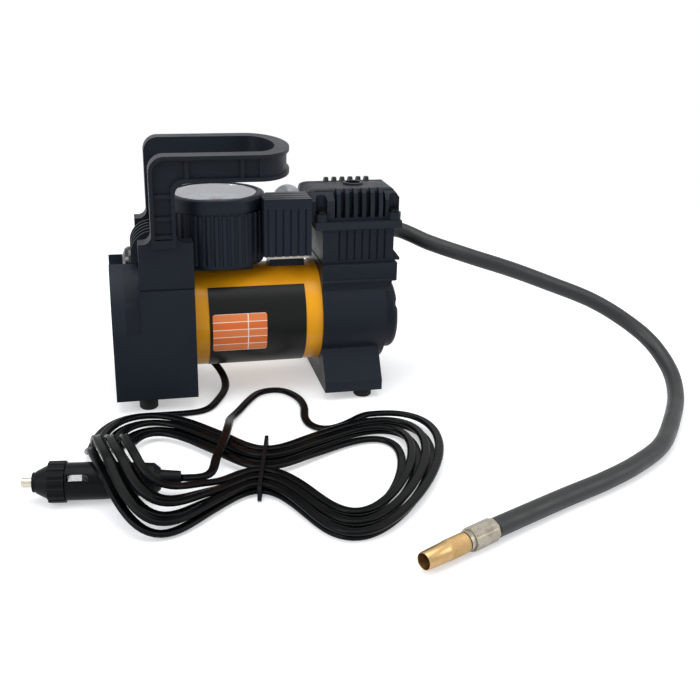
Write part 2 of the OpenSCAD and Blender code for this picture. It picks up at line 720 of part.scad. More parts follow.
module crankcase_screws() color("silver") for (a = dome_bolts) {
    along_x(x_dome + 4, x_dome + 4 + head_t, head_r, dome_bolt_r * sin(a), dome_z + dome_bolt_r * cos(a));
    along_x(x_dome - 4, x_dome + 4 + seat, screw_r, dome_bolt_r * sin(a), dome_z + dome_bolt_r * cos(a));
}
module crank_disc() color("silver") difference() {
    union() {
        along_x(crank_x, crank_x + crank_t, disc_r);
        intersection() {
            along_x(crank_x, crank_x + crank_t, weight_r);
            bar(crank_x - 1, crank_x + crank_t + 1, -weight_r - 1, weight_r + 1, axis_z - weight_r - 1, axis_z - crank_e);
        }
        along_x(crank_x + crank_t - eps, rod_x - clear, pin_r, 0, big_z);
    }
    along_x(crank_x - eps, crank_x + crank_t - 0.4, shaft_r + 0.02);
}
crown_top = cyl_top_z - 3.1;
crown_t = 7;
seal_t = 1.6;
sleeve_top = cyl_top_z - 2.1;
module connecting_rod() color("silver") difference() {
    union() {
        along_x(rod_x, rod_x + rod_t, big_r, 0, big_z);
        bar(rod_x + 0.5, rod_x + rod_t - 0.5, -5, 5, big_z + 6, crown_top - crown_t + 1);
        along_z(crown_top - crown_t, crown_top - crown_t + 3, bore_r - 0.4, cyl_x, 0);
        along_z(crown_top - crown_t + 2, crown_top - 1, 6, cyl_x, 0);
        along_z(crown_top - crown_t + 3 + seal_t + 0.1, crown_top, bore_r - 1.2, cyl_x, 0);
    }
    along_x(rod_x - eps, rod_x + rod_t + eps, rod_bearing_r + 0.02, 0, big_z);
}
module rod_bearing() color("gainsboro") difference() {
    along_x(rod_x, rod_x + rod_t, rod_bearing_r, 0, big_z);
    along_x(rod_x - eps, rod_x + rod_t + eps, pin_r + 0.2, 0, big_z);
}
module piston_seal() color("white") difference() {
    along_z(crown_top - crown_t + 3.05, crown_top - crown_t + 3.05 + seal_t, bore_r - 0.06, cyl_x, 0);
    along_z(crown_top - crown_t, crown_top, 6.1, cyl_x, 0);
}
module cylinder_sleeve() color("silver") difference() {
    along_z(sleeve_low_z, sleeve_top, bore_r + sleeve_wall, cyl_x, 0);
    along_z(sleeve_low_z - eps, sleeve_top + eps, bore_r, cyl_x, 0);
}
flange_low_z = cyl_top_z - flange_t;
flange_half_l = block_half_l + 4.5;
flange_half_w = block_half_w + 1.5;
plate_half = 18.5;
block_groove_w = 1.2;
block_groove_d = 1;
block_groove_pitch = 4.7;
block_grooves = 7;
outlet_y = 12;
outlet_z = shoulder_z + 11.2;
outlet_r = 5;
module cylinder_block() color([0.14, 0.16, 0.19]) difference() {
    union() {
        bar(cyl_x - block_half_l, cyl_x + block_half_l, -block_half_w, block_half_w, shoulder_z, flange_low_z + eps);
        bar(cyl_x - flange_half_l, cyl_x + flange_half_l, -flange_half_w, flange_half_w, flange_low_z, cyl_top_z);
        for (side = [-1, 1]) slab_y(side * 20 - 2, side * 20 + 2) polygon([
            [cyl_x + block_half_l - 1, shoulder_z], [cyl_x + block_half_l + 5, shoulder_z],
            [cyl_x + block_half_l + 5, shoulder_z + 1.5], [cyl_x + block_half_l - 1, shoulder_z + 9]]);
    }
    along_z(shoulder_z - eps, cyl_top_z, bore_r + sleeve_wall + run, cyl_x, 0);
    bar(cyl_x - plate_half - seat, cyl_x + plate_half + seat, -plate_half - seat, plate_half + seat, sleeve_top, cyl_top_z + eps);
    for (side = [-1, 1], i = [0:block_grooves - 1]) {
        x = cyl_x + 1.5 + (i - (block_grooves - 1) / 2) * block_groove_pitch;
        bar(x, x + block_groove_w, side > 0 ? block_half_w - block_groove_d : -block_half_w - 1,
            side > 0 ? block_half_w + 1 : -block_half_w + block_groove_d, shoulder_z + 2, flange_low_z - 1);
    }
    along_x(cyl_x + bore_r + sleeve_wall + 1.5, cyl_x + block_half_l + eps, outlet_r + seat, outlet_y, outlet_z);
    for (x = boss_x, side = [-1, 1]) along_z(flange_low_z + 0.8, cyl_top_z + eps, screw_r + 0.1, x, side * boss_y);
}
boss_x = [cyl_x - block_half_l - 0.5, cyl_x + block_half_l + 0.5];
boss_y = block_half_w - 2.8;
boss_r = 4;
boss_top_z = cyl_top_z + 4.6;
module valve_plate() color("silver") {
    difference() {
        bar(cyl_x - plate_half, cyl_x + plate_half, -plate_half, plate_half, sleeve_top + 0.05, sleeve_top + 1.5);
        for (x = [-6, 6]) along_z(sleeve_top - 1, sleeve_top + 2, 2, cyl_x + x, 0);
    }
    for (x = [-6, 6]) bar(cyl_x + x - 3, cyl_x + x + 3, -3, 8, sleeve_top + 1.52, sleeve_top + 1.8);
}
module head_gasket() color([0.35, 0.35, 0.3]) difference() {
    bar(cyl_x - plate_half, cyl_x + plate_half, -plate_half, plate_half, sleeve_top + 1.55, cyl_top_z);
    bar(cyl_x - 13, cyl_x + 13, -12, 12, sleeve_top + 1, cyl_top_z + 1);
}
head_x0 = cyl_x - 1.5 - head_len / 2;
head_x1 = head_x0 + head_len;
head_top_z = cyl_top_z + head_h;
head_flat_half = 14;
fin_recess = 6;
fin_low_z = cyl_top_z + 1.5;
fin_top_z = head_top_z - 6.5;
ring_x = cyl_x + 2.5;
ring_y = 4;
module head_section() polygon([
    [-head_half_w, cyl_top_z], [head_half_w, cyl_top_z], [head_half_w, head_top_z - 5],
    [head_half_w - 3, head_top_z - 2], [head_flat_half, head_top_z], [-head_flat_half, head_top_z],
    [-(head_half_w - 3), head_top_z - 2], [-head_half_w, head_top_z - 5]]);
// Side outline of the head in [x, z], shrunk by d above its base: round at the back, cut off at the front
module head_profile(d) {
    translate([head_x0 + head_round, head_top_z - head_round]) circle(r = head_round - d);
    translate([head_x0 + d, cyl_top_z]) square([head_len - 2 * d, head_h - head_round]);
    polygon([[head_x0 + head_round, cyl_top_z + eps], [head_x1 - d, cyl_top_z + eps], [head_x1 - d, head_top_z - 4],
        [head_x1 - 2.5 - 0.5 * d, head_top_z - d], [head_x0 + head_round, head_top_z - d]]);
}
head_round = 4.5;
head_grooves = 4;
head_groove_w = 0.7;
head_groove_d = 0.8;
head_groove_pitch = 1.7;
module cylinder_head() color([0.14, 0.16, 0.19]) difference() {
    union() {
        difference() {
            intersection() {
                slab_x(head_x0, head_x1) head_section();
                slab_y(-head_half_w - 1, head_half_w + 1) head_profile(0);
            }
            for (k = [0:head_grooves - 1], side = [-1, 1]) {
                y = side * (head_half_w - fin_recess - 1.2 - k * head_groove_pitch);
                slab_y(y - head_groove_w / 2, y + head_groove_w / 2) difference() {
                    head_profile(-1);
                    head_profile(head_groove_d);
                }
            }
            for (side = [-1, 1]) bar(fin_x0 - 1.5, fin_x1 + 1.5,
                side > 0 ? head_half_w - fin_recess : -head_half_w - 1,
                side > 0 ? head_half_w + 1 : -head_half_w + fin_recess, fin_low_z, head_top_z + 1);
        }
        for (i = [0:fin_count - 1], side = [-1, 1]) {
            x = fin_x0 + i * fin_pitch;
            slab_x(x, x + fin_t) polygon([
                [side * (head_half_w - fin_recess - 1), fin_low_z - eps], [side * (head_half_w - 0.4), fin_low_z - eps],
                [side * (head_half_w - 0.4), fin_top_z - 1], [side * (head_half_w - 1.5), head_top_z - 1],
                [side * (head_half_w - 4), head_top_z + 1.6], [side * (head_half_w - 6.5), head_top_z + 1.6],
                [side * (head_half_w - 8.5), head_top_z - 1], [side * (head_half_w - fin_recess - 1), head_top_z - 3]]);
        }
        for (x = boss_x, side = [-1, 1]) along_z(cyl_top_z, boss_top_z, boss_r, x, side * boss_y);
        along_z(head_top_z - 1, head_top_z + 1, 6.3, ring_x, ring_y);
    }
    along_z(head_top_z - 4, head_top_z + 2, 4.6, ring_x, ring_y);
    bar(cyl_x - 12, cyl_x + 12, -11, 11, cyl_top_z - 1, cyl_top_z + 8);
    along_z(cyl_top_z + 7, head_top_z, 2, ring_x, ring_y);
    for (x = boss_x, side = [-1, 1]) {
        along_z(cyl_top_z - 1, head_top_z + 4, screw_r + clear, x, side * boss_y);
        along_z(boss_top_z, head_top_z + 4, head_r + 0.6, x, side * boss_y);
    }
}
fin_x0 = cyl_x + 1.2 - (fin_count - 1) / 2 * fin_pitch - fin_t / 2;
fin_x1 = fin_x0 + (fin_count - 1) * fin_pitch + fin_t;
module head_screws() color("silver") for (x = boss_x, side = [-1, 1]) {
    along_z(boss_top_z, boss_top_z + head_t, head_r, x, side * boss_y);
    along_z(flange_low_z + 1, boss_top_z + seat, screw_r, x, side * boss_y);
}
outlet_x1 = cyl_x + block_half_l + 5;
module outlet_fitting() color("silver") difference() {
    union() {
        along_x(cyl_x + bore_r + sleeve_wall + 1.6, cyl_x + block_half_l + 0.2, outlet_r, outlet_y, outlet_z);
        translate([cyl_x + block_half_l + 0.05, outlet_y, outlet_z]) rotate([0, 90, 0])
            cylinder(h = 4.95, r = 6.3, $fn = 6);
    }
    along_x(cyl_x + bore_r + sleeve_wall + 1, outlet_x1 + eps, hose_bore / 2, outlet_y, outlet_z);
}

/* ---------- gauge and switch ---------- */
gauge_x = x_can + gauge_setback;
drum_top_z = gauge_top_z - bezel_h;
gauge_in_r = 26;
gauge_floor_z = gauge_low_z + 3;
flute_r = 1.5;
saddle_half_w = 9;
dial_z = drum_top_z - 1.2;
dial_t = 1;
lens_z = gauge_top_z - 2.4;
lens_t = 2;
needle_r = 1.2;
movement_r = 14;
// Needle: height of its blade, length and half width
blade_z = dial_z + dial_t + 1;
blade_len = 19;
blade_half_w = 0.9;
module fluted_disc() difference() {
    circle(r = gauge_r);
    for (i = [0:flute_count - 1]) rotate(i * 360 / flute_count) translate([gauge_r + flute_r - flute_d, 0]) circle(r = flute_r, $fn = 16);
}
module gauge_housing() color([0.14, 0.16, 0.19]) difference() {
    union() {
        translate([gauge_x, 0, gauge_low_z + 2]) linear_extrude(drum_top_z - gauge_low_z - 3.5) fluted_disc();
        along_z(gauge_low_z, drum_top_z, gauge_r - flute_d, gauge_x, 0);
        bar(x_can + 1, gauge_x + 21, -saddle_half_w, saddle_half_w, axis_z + can_r - 5, gauge_low_z + eps);
    }
    along_x(x_can - 1, gauge_x + 30, can_r + seat);
    along_z(gauge_floor_z, drum_top_z + eps, gauge_in_r, gauge_x, 0);
}
module gauge_bezel() color([0.1, 0.11, 0.13]) translate([gauge_x, 0, 0]) rotate_extrude() polygon([
    [lens_r - 2, drum_top_z + 0.05], [gauge_r, drum_top_z + 0.05], [gauge_r, gauge_top_z - 1.6],
    [gauge_r - 0.5, gauge_top_z - 0.5], [gauge_r - 1.6, gauge_top_z], [lens_r + 2, gauge_top_z],
    [lens_r + 0.1, gauge_top_z - 1], [lens_r + 0.1, lens_z], [lens_r - 2, lens_z]]);
module gauge_lens() color([0.8, 0.85, 0.88, 0.4]) along_z(lens_z + 0.05, lens_z + lens_t, lens_r, gauge_x, 0);
module gauge_dial() color("white") difference() {
    along_z(dial_z, dial_z + dial_t, gauge_in_r - 0.1, gauge_x, 0);
    along_z(dial_z - eps, dial_z + dial_t + eps, needle_r + 0.4, gauge_x, 0);
}
module gauge_needle() color("red") {
    along_z(dial_z - 6, blade_z + 1.6, needle_r, gauge_x, 0);
    along_z(blade_z - 0.4, blade_z + 1.4, 3, gauge_x, 0);
    translate([gauge_x, 0, blade_z]) rotate(225) linear_extrude(0.6)
        polygon([[-6, -blade_half_w], [blade_len, -0.3], [blade_len, 0.3], [-6, blade_half_w]]);
}
module gauge_movement() color("gold") difference() {
    along_z(gauge_floor_z + 0.05, dial_z - 0.05, movement_r, gauge_x, 0);
    along_z(dial_z - 7, dial_z + eps, needle_r + run, gauge_x, 0);
}

switch_x1 = head_x0 - 0.45;
switch_x0 = switch_x1 - switch_len;
switch_x = switch_x1 - 0.4 - cap_r;
switch_y = 5;
deck_z = switch_top_z - deck_drop;
switch_wall = 1.2;
switch_low_z = switch_top_z - 34.6;
switch_body_r = 7.4;
switch_body_h = 15;
switch_flutes = 6;
switch_flute_pitch = 4.5;
hinge_z = deck_z - 1.5;
rocker_half = 4.6;
rocker_half_w = 2.8;
rocker_pin_r = 1;
rocker_pin_half = 5;
module switch_housing() color([0.14, 0.16, 0.19]) difference() {
    union() {
        bar(switch_x0, switch_x1, -switch_half_w, switch_half_w, switch_low_z, deck_z);
        bar(switch_x0, switch_x1, -switch_half_w, switch_front - switch_half_w, deck_z - eps, switch_top_z);
        bar(gauge_x + gauge_r + 2, switch_x1 - 1, -stem_half_w, stem_half_w, axis_z + can_r - 4, switch_low_z + eps);
    }
    along_x(switch_x0 - 1, switch_x1 + 1, can_r + seat);
    along_z(axis_z, switch_top_z + eps, gauge_r + clear, gauge_x, 0);
    along_z(deck_z - switch_body_h, deck_z + eps, switch_body_r + seat, switch_x, switch_y);
    for (i = [0:switch_flutes - 1], side = [-1, 1]) {
        x = switch_x1 - 3 - i * switch_flute_pitch;
        bar(x - flute_w, x, side > 0 ? switch_half_w - 1 : -switch_half_w - 1,
            side > 0 ? switch_half_w + 1 : -switch_half_w + 1, switch_low_z - eps, deck_z + 1.5);
    }
    for (i = [0:top_grooves - 1]) {
        y = -switch_half_w + top_groove_pitch * (i + 0.6);
        bar(switch_x0 - 1, switch_x1 + 1, y, y + flute_w, switch_top_z - top_groove_d, switch_top_z + eps);
    }
}
stem_half_w = 7;
flute_w = 1.2;
top_grooves = 3;
top_groove_pitch = 6;
top_groove_d = 0.9;
module switch_body() color([0.1, 0.1, 0.1]) difference() {
    along_z(deck_z - switch_body_h + 0.05, deck_z, switch_body_r, switch_x, switch_y);
    bar(switch_x - rocker_half - 1, switch_x + rocker_half + 1, switch_y - rocker_half_w - 0.4,
        switch_y + rocker_half_w + 0.4, deck_z - 6, deck_z + eps);
    along_y(switch_y - rocker_pin_half - 0.1, switch_y + rocker_pin_half + 0.1, rocker_pin_r + run, switch_x, hinge_z);
}
// Rocker outline in [x, z] about its pin: two raised ends and a rounded belly
module rocker_outline() polygon([[-rocker_half, 1.6], [-rocker_half + 0.6, -1.2], [0, -2.6],
    [rocker_half - 0.6, -1.2], [rocker_half, 1.6], [0, 1.2]]);
module switch_rocker() color([0.7, 0.1, 0.08])
    translate([switch_x, switch_y, hinge_z]) rotate([0, -rocker_deg / 2, 0]) {
        slab_y(-rocker_half_w, rocker_half_w) rocker_outline();
        rotate([90, 0, 0]) cylinder(h = 2 * rocker_pin_half, r = rocker_pin_r, center = true);
    }
// Hollow dome on a short collar, shrunk by d
module cap_outline(d = 0) {
    r = cap_r - d;
    h = cap_h - d;
    big = (r * r + h * h) / 2 / h;
    translate([0, -1]) square([r, collar_h + 1]);
    translate([0, collar_h]) intersection() {
        translate([0, h - big]) circle(r = big, $fn = 128);
        translate([0, -eps]) square([r, cap_h + 1]);
    }
}
module switch_cap() color([0.8, 0.82, 0.84, 0.5]) translate([switch_x, switch_y, deck_z]) rotate_extrude()
    intersection() {
        difference() {
            cap_outline();
            cap_outline(switch_wall);
        }
        translate([0, 0.05]) square([cap_r + 1, collar_h + cap_h + 1]);
    }

/* ---------- feet and strain relief ---------- */
foot_stem_r = 2.4;
rear_foot_x = x_block + 1.7;
front_foot_x = x_crank + 25.3;
cord_exit_y = 12;
cord_exit_z = rear_low_z + rear_wall + 3.3;
relief_neck_r = 3.1;
relief_len = 6;
module foot(x, y, h) {
    difference() {
        union() {
            along_z(0.8, h, foot_r, x, y);
            along_z(0, 1, foot_r - 0.8, x, y);
        }
        along_z(-eps, 1.6, 2, x, y);
    }
    along_z(h - eps, h + 2.2, foot_stem_r, x, y);
}
module feet() color([0.08, 0.08, 0.08]) for (side = [-1, 1]) {
    foot(rear_foot_x, side * rear_foot_y, rear_foot_h);
    foot(front_foot_x, side * front_foot_y, front_foot_h);
}
module strain_relief() color([0.08, 0.08, 0.08]) {
    along_x(x_can - rear_wall - 2, x_can - rear_wall - 0.05, relief_neck_r + 0.9, cord_exit_y, cord_exit_z + 0.8);
    along_x(x_can - rear_wall - 1, x_can + relief_len, relief_neck_r, cord_exit_y, cord_exit_z);
}

/* ---------- swept cords ---------- */
// One point of the smooth curve through p at parameter t
function smooth_point(p, t) =
    let (n = len(p) - 1, i = min(floor(t), n - 1), u = t - i,
        a = p[max(i - 1, 0)], b = p[i], c = p[i + 1], d = p[min(i + 2, n)])
    b + u * (c - a) / 2 + u * u * (a - 2.5 * b + 2 * c - d / 2)
        + u * u * u * (1.5 * b - 1.5 * c + (d - a) / 2);
function smooth_path(p, per) = [for (i = [0:(len(p) - 1) * per]) smooth_point(p, i / per)];
function unit(v) = v / norm(v);
function flat_section(w, t) = [[w / 2, 0], [0.36 * w, t / 2], [-0.36 * w, t / 2],
    [-w / 2, 0], [-0.36 * w, -t / 2], [0.36 * w, -t / 2]];
function round_section(r, n) = [for (k = [0:n - 1]) r * [cos((k + 0.5) * 360 / n), sin((k + 0.5) * 360 / n)]];
// Sweeps a section along a path, first and last rings square to dir0 and dir1
module sweep(path, section, dir0, dir1) {
    n = len(path);
    m = len(section);
    points = [for (i = [0:n - 1])
        let (t = i == 0 ? unit(dir0) : i == n - 1 ? unit(dir1) : unit(path[i + 1] - path[i - 1]),
            s = unit(cross([0, 0, 1], t)), u = cross(t, s))
        for (q = section) path[i] + q[0] * s + q[1] * u];
    side_faces = [for (i = [0:n - 2], k = [0:m - 1])
        let (a = i * m + k, b = i * m + (k + 1) % m)
        each [[a, b, b + m], [a, b + m, a + m]]];
    caps = [for (k = [1:m - 2]) each [[0, k + 1, k], [(n - 1) * m, (n - 1) * m + k, (n - 1) * m + k + 1]]];
    polyhedron(points = points, faces = concat(side_faces, caps));
}

/* ---------- plug ---------- */
plug_tip_at = [-135, -134.5, nut_r];
plug_yaw = -7;
// Turn of the plug about its own axis, which lifts the front contact
plug_roll = 36;
tip_len = 5.5;
cone_len = 8;
nut_x0 = tip_len + cone_len;
nut_x1 = nut_x0 + nut_len;
plug_x1 = nut_x1 + plug_len;
relief_x1 = plug_x1 + 10;
plug_tail_r = 8;
spigot_r = 7.2;
tip_r = 2.5;
tip_flange_r = 4.4;
contact_x0 = nut_x1 + 1.5;
contact_len = 10;
contact_half_w = 1.5;
module on_plug() translate(plug_tip_at) rotate([0, 0, plug_yaw]) rotate([0, 90, 0]) children();
module ring(x0, x1, r) translate([0, 0, x0]) cylinder(h = x1 - x0, r = r);
module plug_body() color([0.07, 0.07, 0.08]) on_plug() difference() {
    union() {
        rotate_extrude() polygon([[0, nut_x1 + 0.3], [plug_r, nut_x1 + 0.3], [plug_r, nut_x1 + 18],
            [plug_tail_r, plug_x1 - 3], [plug_tail_r - 2.5, plug_x1], [4.6, plug_x1], [3.6, relief_x1], [0, relief_x1]]);
        ring(nut_x0 + 2, nut_x1 + eps, spigot_r);
    }
    ring(nut_x0, nut_x0 + 2 + tip_travel + 4, tip_flange_r + clear);
    for (side = [-1, 1]) rotate([0, 0, -plug_roll])
        translate([-contact_half_w - clear, side > 0 ? 4.4 : -plug_r - 1, contact_x0 - clear])
            cube([2 * contact_half_w + 2 * clear, plug_r - 3.4, contact_len + 2 * clear]);
}
module plug_nut() color([0.6, 0.6, 0.62]) on_plug() difference() {
    union() {
        translate([0, 0, nut_x0]) linear_extrude(nut_len) difference() {
            circle(r = nut_r);
            for (i = [0:nut_ribs - 1]) rotate((i + 0.5) * 360 / nut_ribs) translate([nut_r + 0.5, 0]) circle(r = 1.2, $fn = 16);
        }
        rotate_extrude() polygon([[0, tip_len], [5, tip_len], [5, tip_len + 1.8], [5.6, tip_len + 1.8],
            [8.8, nut_x0 + 0.1], [0, nut_x0 + 0.1]]);
    }
    ring(-eps, nut_x0 + 1, tip_r + clear);
    ring(tip_len + 3, nut_x0 + 2, tip_flange_r + clear);
    ring(nut_x0 + 1, nut_x1 + eps, spigot_r + run);
}
module plug_tip() color("silver") on_plug() {
    rotate_extrude() polygon([[0, 0], [tip_r - 0.5, 0], [tip_r, 0.5], [tip_r, nut_x0], [0, nut_x0]]);
    ring(tip_len + 3 + clear, nut_x0, tip_flange_r);
}
module plug_contact(side) on_plug() rotate([0, 0, (side > 0 ? 0 : 180) - plug_roll])
    translate([contact_half_w, 0, 0]) rotate([0, -90, 0]) linear_extrude(2 * contact_half_w) polygon([
        [contact_x0, 5.8], [contact_x0 + contact_len, 5.8], [contact_x0 + contact_len, plug_r - 0.6],
        [contact_x0 + contact_len - 2.5, plug_r + 1.2], [contact_x0 + 3, plug_r + 1.2], [contact_x0, plug_r - 0.8]]);
module plug_contact_front() color("silver") plug_contact(-1);
module plug_contact_back() color("silver") plug_contact(1);

/* ---------- hank, tie and free stretches of the power cord ---------- */
hank_at = [-14, -128, 0];
hank_yaw = -12;
hank_start_deg = 130;
rings_per_turn = 24;
// Shift of the rings towards the ends of the lobes, where the loops run fastest
ring_shift_deg = 8;
// Waist half width, its growth per turn, lobe width, its growth per turn, growth of length per turn
waist_half = 2.4;
waist_step = 7.5;
lobe_w = 120;
lobe_step = 13.2;
length_step = 7;
lobe_soft = 0.3;
layer_h = cord_t + 0.95;
floor_gap = 0.05;
tie_lift = 1;
// Half length along which the loops lie on the tie, and length of the slope beyond it
tie_flat = 20;
tie_slope = 16;
fan_out = 0.003;
// Rise of the loops where they lie over the plug: height, flat radius and fall per mm
over_plug_h = 2 * nut_r + 2.2;
over_plug_r = 11;
over_plug_fall = 0.55;
// Loosening of the layers per mm of that rise, and pull inward where the spiral reverses
layer_spread = 0.05;
mid_dip = 0.35;
mid_dip_turns = 0.45;
mid_turn = hank_turns / 2;
function hank_plan(i, a) =
    let (y = sin(a) * (waist_half + waist_step * i
            + (lobe_w + lobe_step * i) * (sqrt(cos(a) * cos(a) + lobe_soft * lobe_soft) - lobe_soft)),
        x = (hank_half_l - length_step * mid_turn + length_step * i * cos(a) * cos(a)) * cos(a))
    [x * (1 + fan_out * y), y];
function ease(u) = let (v = min(1, max(0, u))) v * v * (3 - 2 * v);
function turned(p, a) = [p[0] * cos(a) - p[1] * sin(a), p[0] * sin(a) + p[1] * cos(a)];
plug_dir = [cos(plug_yaw), sin(plug_yaw)];
plug_end = [plug_tip_at[0] + relief_x1 * plug_dir[0], plug_tip_at[1] + relief_x1 * plug_dir[1], nut_r];
function along_plug(p) = (p[0] - plug_tip_at[0]) * plug_dir[0] + (p[1] - plug_tip_at[1]) * plug_dir[1];
// Distance in plan from the front half of the plug
function plug_distance(p) =
    let (s = min(nut_x1 + 26, max(nut_x0, along_plug(p))))
    norm([p[0] - plug_tip_at[0] - s * plug_dir[0], p[1] - plug_tip_at[1] - s * plug_dir[1]]);
function hank_point(t) =
    let (j = abs(t - mid_turn), i = j - mid_dip * (1 - ease(j / mid_dip_turns)), turn = hank_start_deg + 360 * t,
        r = hank_plan(i, turn - ring_shift_deg * sin(2 * turn)), q = turned(r, hank_yaw),
        w = [q[0] + hank_at[0], q[1] + hank_at[1]],
        over = over_plug_h - over_plug_fall * max(0, plug_distance(w) - over_plug_r),
        lift = over <= 0 ? 0 : over < 4 ? over * over / 8 : over - 2)
    [w[0], w[1], floor_gap + cord_t / 2
        + layer_h * (1 + layer_spread * lift) * ease((t - mid_turn + 0.25) / 0.5)
        + tie_lift * (1 - ease((abs(r[0]) - tie_flat) / tie_slope)) + lift];
hank_rings = ceil(hank_turns * rings_per_turn);
function hank_path(n) = [for (k = [0:n]) hank_point(hank_turns * k / n)];
// Least gap between stretches of the hank that lie next to each other
function least_gap(p, skip) = min([for (j = [0:len(p) - 1]) for (k = [j + skip:1:len(p) - 1])
    max(norm([p[j][0] - p[k][0], p[j][1] - p[k][1]]) - cord_w, abs(p[j][2] - p[k][2]) - cord_t)]);
module cord_hank() color([0.06, 0.06, 0.07]) {
    fine = hank_path(hank_rings * 3);
    echo("least gap in the hank, mm", least_gap(fine, 12));
    sweep(hank_path(hank_rings), flat_section(cord_w, cord_t),
        hank_point(0.001) - hank_point(0), hank_point(hank_turns) - hank_point(hank_turns - 0.001));
}
tie_w = 2;
tie_t = 0.8;
// Bow of the outermost loops between two rings next to the tie
loop_bow = 2.9;
tie_half = waist_half + waist_step * mid_turn + cord_w / 2 + loop_bow + 0.4;
tie_low = floor_gap + tie_lift - tie_t - 0.1;
tie_high = floor_gap + tie_lift + layer_h + cord_t + 0.3;
module tie_outline(d) polygon([[-tie_half - d, tie_low + tie_t - d + 1.2], [-tie_half - d + 1.2, tie_low + tie_t - d],
    [tie_half + d - 1.2, tie_low + tie_t - d], [tie_half + d, tie_low + tie_t - d + 1.2],
    [tie_half + d, tie_high + d - 1.2], [tie_half + d - 1.2, tie_high + d],
    [-tie_half - d + 1.2, tie_high + d], [-tie_half - d, tie_high + d - 1.2]]);
module cord_tie() color([0.12, 0.12, 0.12]) translate(hank_at) rotate([0, 0, hank_yaw])
    slab_x(-tie_w / 2, tie_w / 2) difference() {
        tie_outline(tie_t);
        tie_outline(0);
    }

cord_start = [x_can + relief_len, cord_exit_y, cord_exit_z];
hank_first = hank_point(0);
hank_first_dir = unit(hank_point(0.001) - hank_first);
hank_last = hank_point(hank_turns);
hank_last_dir = unit(hank_last - hank_point(hank_turns - 0.001));
lead_points = [cord_start, cord_start + [5, 0, -0.4], [-22, 3, 7], [-21, -12, 3], [-28, -30, 1.6],
    [-38, -44, 1.45], hank_first - 12 * hank_first_dir, hank_first];
tail_points = [hank_last, hank_last + 6 * hank_last_dir, [40, -82, 3.2], [29, -83, 1.8], [21.5, -76, 1.5],
    [20, -64, 1.45], [22.5, -49, 1.45], [21, -34, 1.45], [13, -21, 1.45], [0, -21.5, 1.45], [-9, -33, 1.45],
    [-17, -48, 1.6], [-24, -62, 3], [-26, -76, 7.5], [-29, -92, 10.2], [-33, -108, 10.4],
    [-38, -124, 10.4], plug_end + [14, 0, 0] - 3 * [0, plug_dir[1], 0], plug_end];
module cord_lead() color([0.06, 0.06, 0.07])
    sweep(smooth_path(lead_points, 4), flat_section(cord_w, cord_t), [1, 0, 0], hank_first_dir);
module cord_tail() color([0.06, 0.06, 0.07])
    sweep(smooth_path(tail_points, 4), flat_section(cord_w, cord_t), hank_last_dir, [-plug_dir[0], -plug_dir[1], 0]);

/* ---------- hose and tire chuck ---------- */
chuck_z = ferrule_r + 0.4;
chuck_yaw = 206.9;
chuck_dir = [cos(chuck_yaw), sin(chuck_yaw), 0];
ferrule_at = [81.4, -214.5, chuck_z];
hose_z = hose_d / 2 + 0.5;
hose_start = [outlet_x1, outlet_y, outlet_z];
hose_points = [hose_start, hose_start + [8, 0, -0.6], [104, 9, 91], [114, 3, 87], [138, -8, 80], [164, -14, 72], [190, -15, 62],
    [220, -19, 50], [241, -27, 38], [254, -42, 27], [257, -64, 16], [249, -88, 9], [231, -116, hose_z + 0.9],
    [208, -145, hose_z], [183, -164, hose_z], [158, -178, hose_z], [129, -191, hose_z],
    ferrule_at - 14 * chuck_dir - [0, 0, 0.3], ferrule_at];
module hose() color([0.1, 0.1, 0.1])
    sweep(smooth_path(hose_points, 3), round_section(hose_d * 0.51, 10), [1, 0, 0], chuck_dir);
sleeve_x0 = ferrule_len + 0.3;
sleeve_x1 = sleeve_x0 + chuck_len;
nipple_r = 2.5;
nipple_len = 10;
thread_depth = 10;
seal_len = 2;
chuck_seal_r = 3.3;
module on_chuck() translate(ferrule_at) rotate([0, 0, chuck_yaw]) rotate([0, 90, 0]) children();
module hose_ferrule() color([0.7, 0.68, 0.6]) on_chuck() difference() {
    union() {
        cylinder(h = ferrule_len - 3, r = ferrule_r, $fn = 8);
        ring(1, ferrule_len - 2.5, ferrule_r * cos(22.5) + 0.15);
        ring(ferrule_len - 3, ferrule_len, ferrule_r - 1);
        ring(ferrule_len - 1, ferrule_len + nipple_len, nipple_r);
    }
    ring(1, ferrule_len + nipple_len + eps, 1.4);
}
module chuck_sleeve() color([0.75, 0.63, 0.38]) on_chuck() difference() {
    union() {
        ring(sleeve_x0, sleeve_x1, 4.3);
        ring(sleeve_x0 + 1, sleeve_x0 + 4, 4.95);
        ring(sleeve_x0 + 5.5, sleeve_x1 - 6, 4.95);
        ring(sleeve_x1 - 4.5, sleeve_x1 - 0.5, 4.6);
    }
    ring(sleeve_x0 - eps, sleeve_x0 + nipple_len + 1, nipple_r + run);
    ring(sleeve_x0 + nipple_len, sleeve_x1, 1.6);
    ring(sleeve_x1 - thread_depth, sleeve_x1 + eps, valve_thread_r);
    ring(sleeve_x1 - thread_depth - seal_len, sleeve_x1 - thread_depth + eps, chuck_seal_r + 0.05);
    for (i = [0:23]) rotate(i * 15) translate([4.95, -0.25, sleeve_x0 + 6]) cube([1, 0.5, chuck_len - 12.5]);
}
module chuck_seal() color([0.1, 0.1, 0.1]) on_chuck() difference() {
    ring(sleeve_x1 - thread_depth - seal_len + 0.05, sleeve_x1 - thread_depth - 0.3, chuck_seal_r);
    ring(sleeve_x1 - thread_depth - 3, sleeve_x1, 1.5);
}

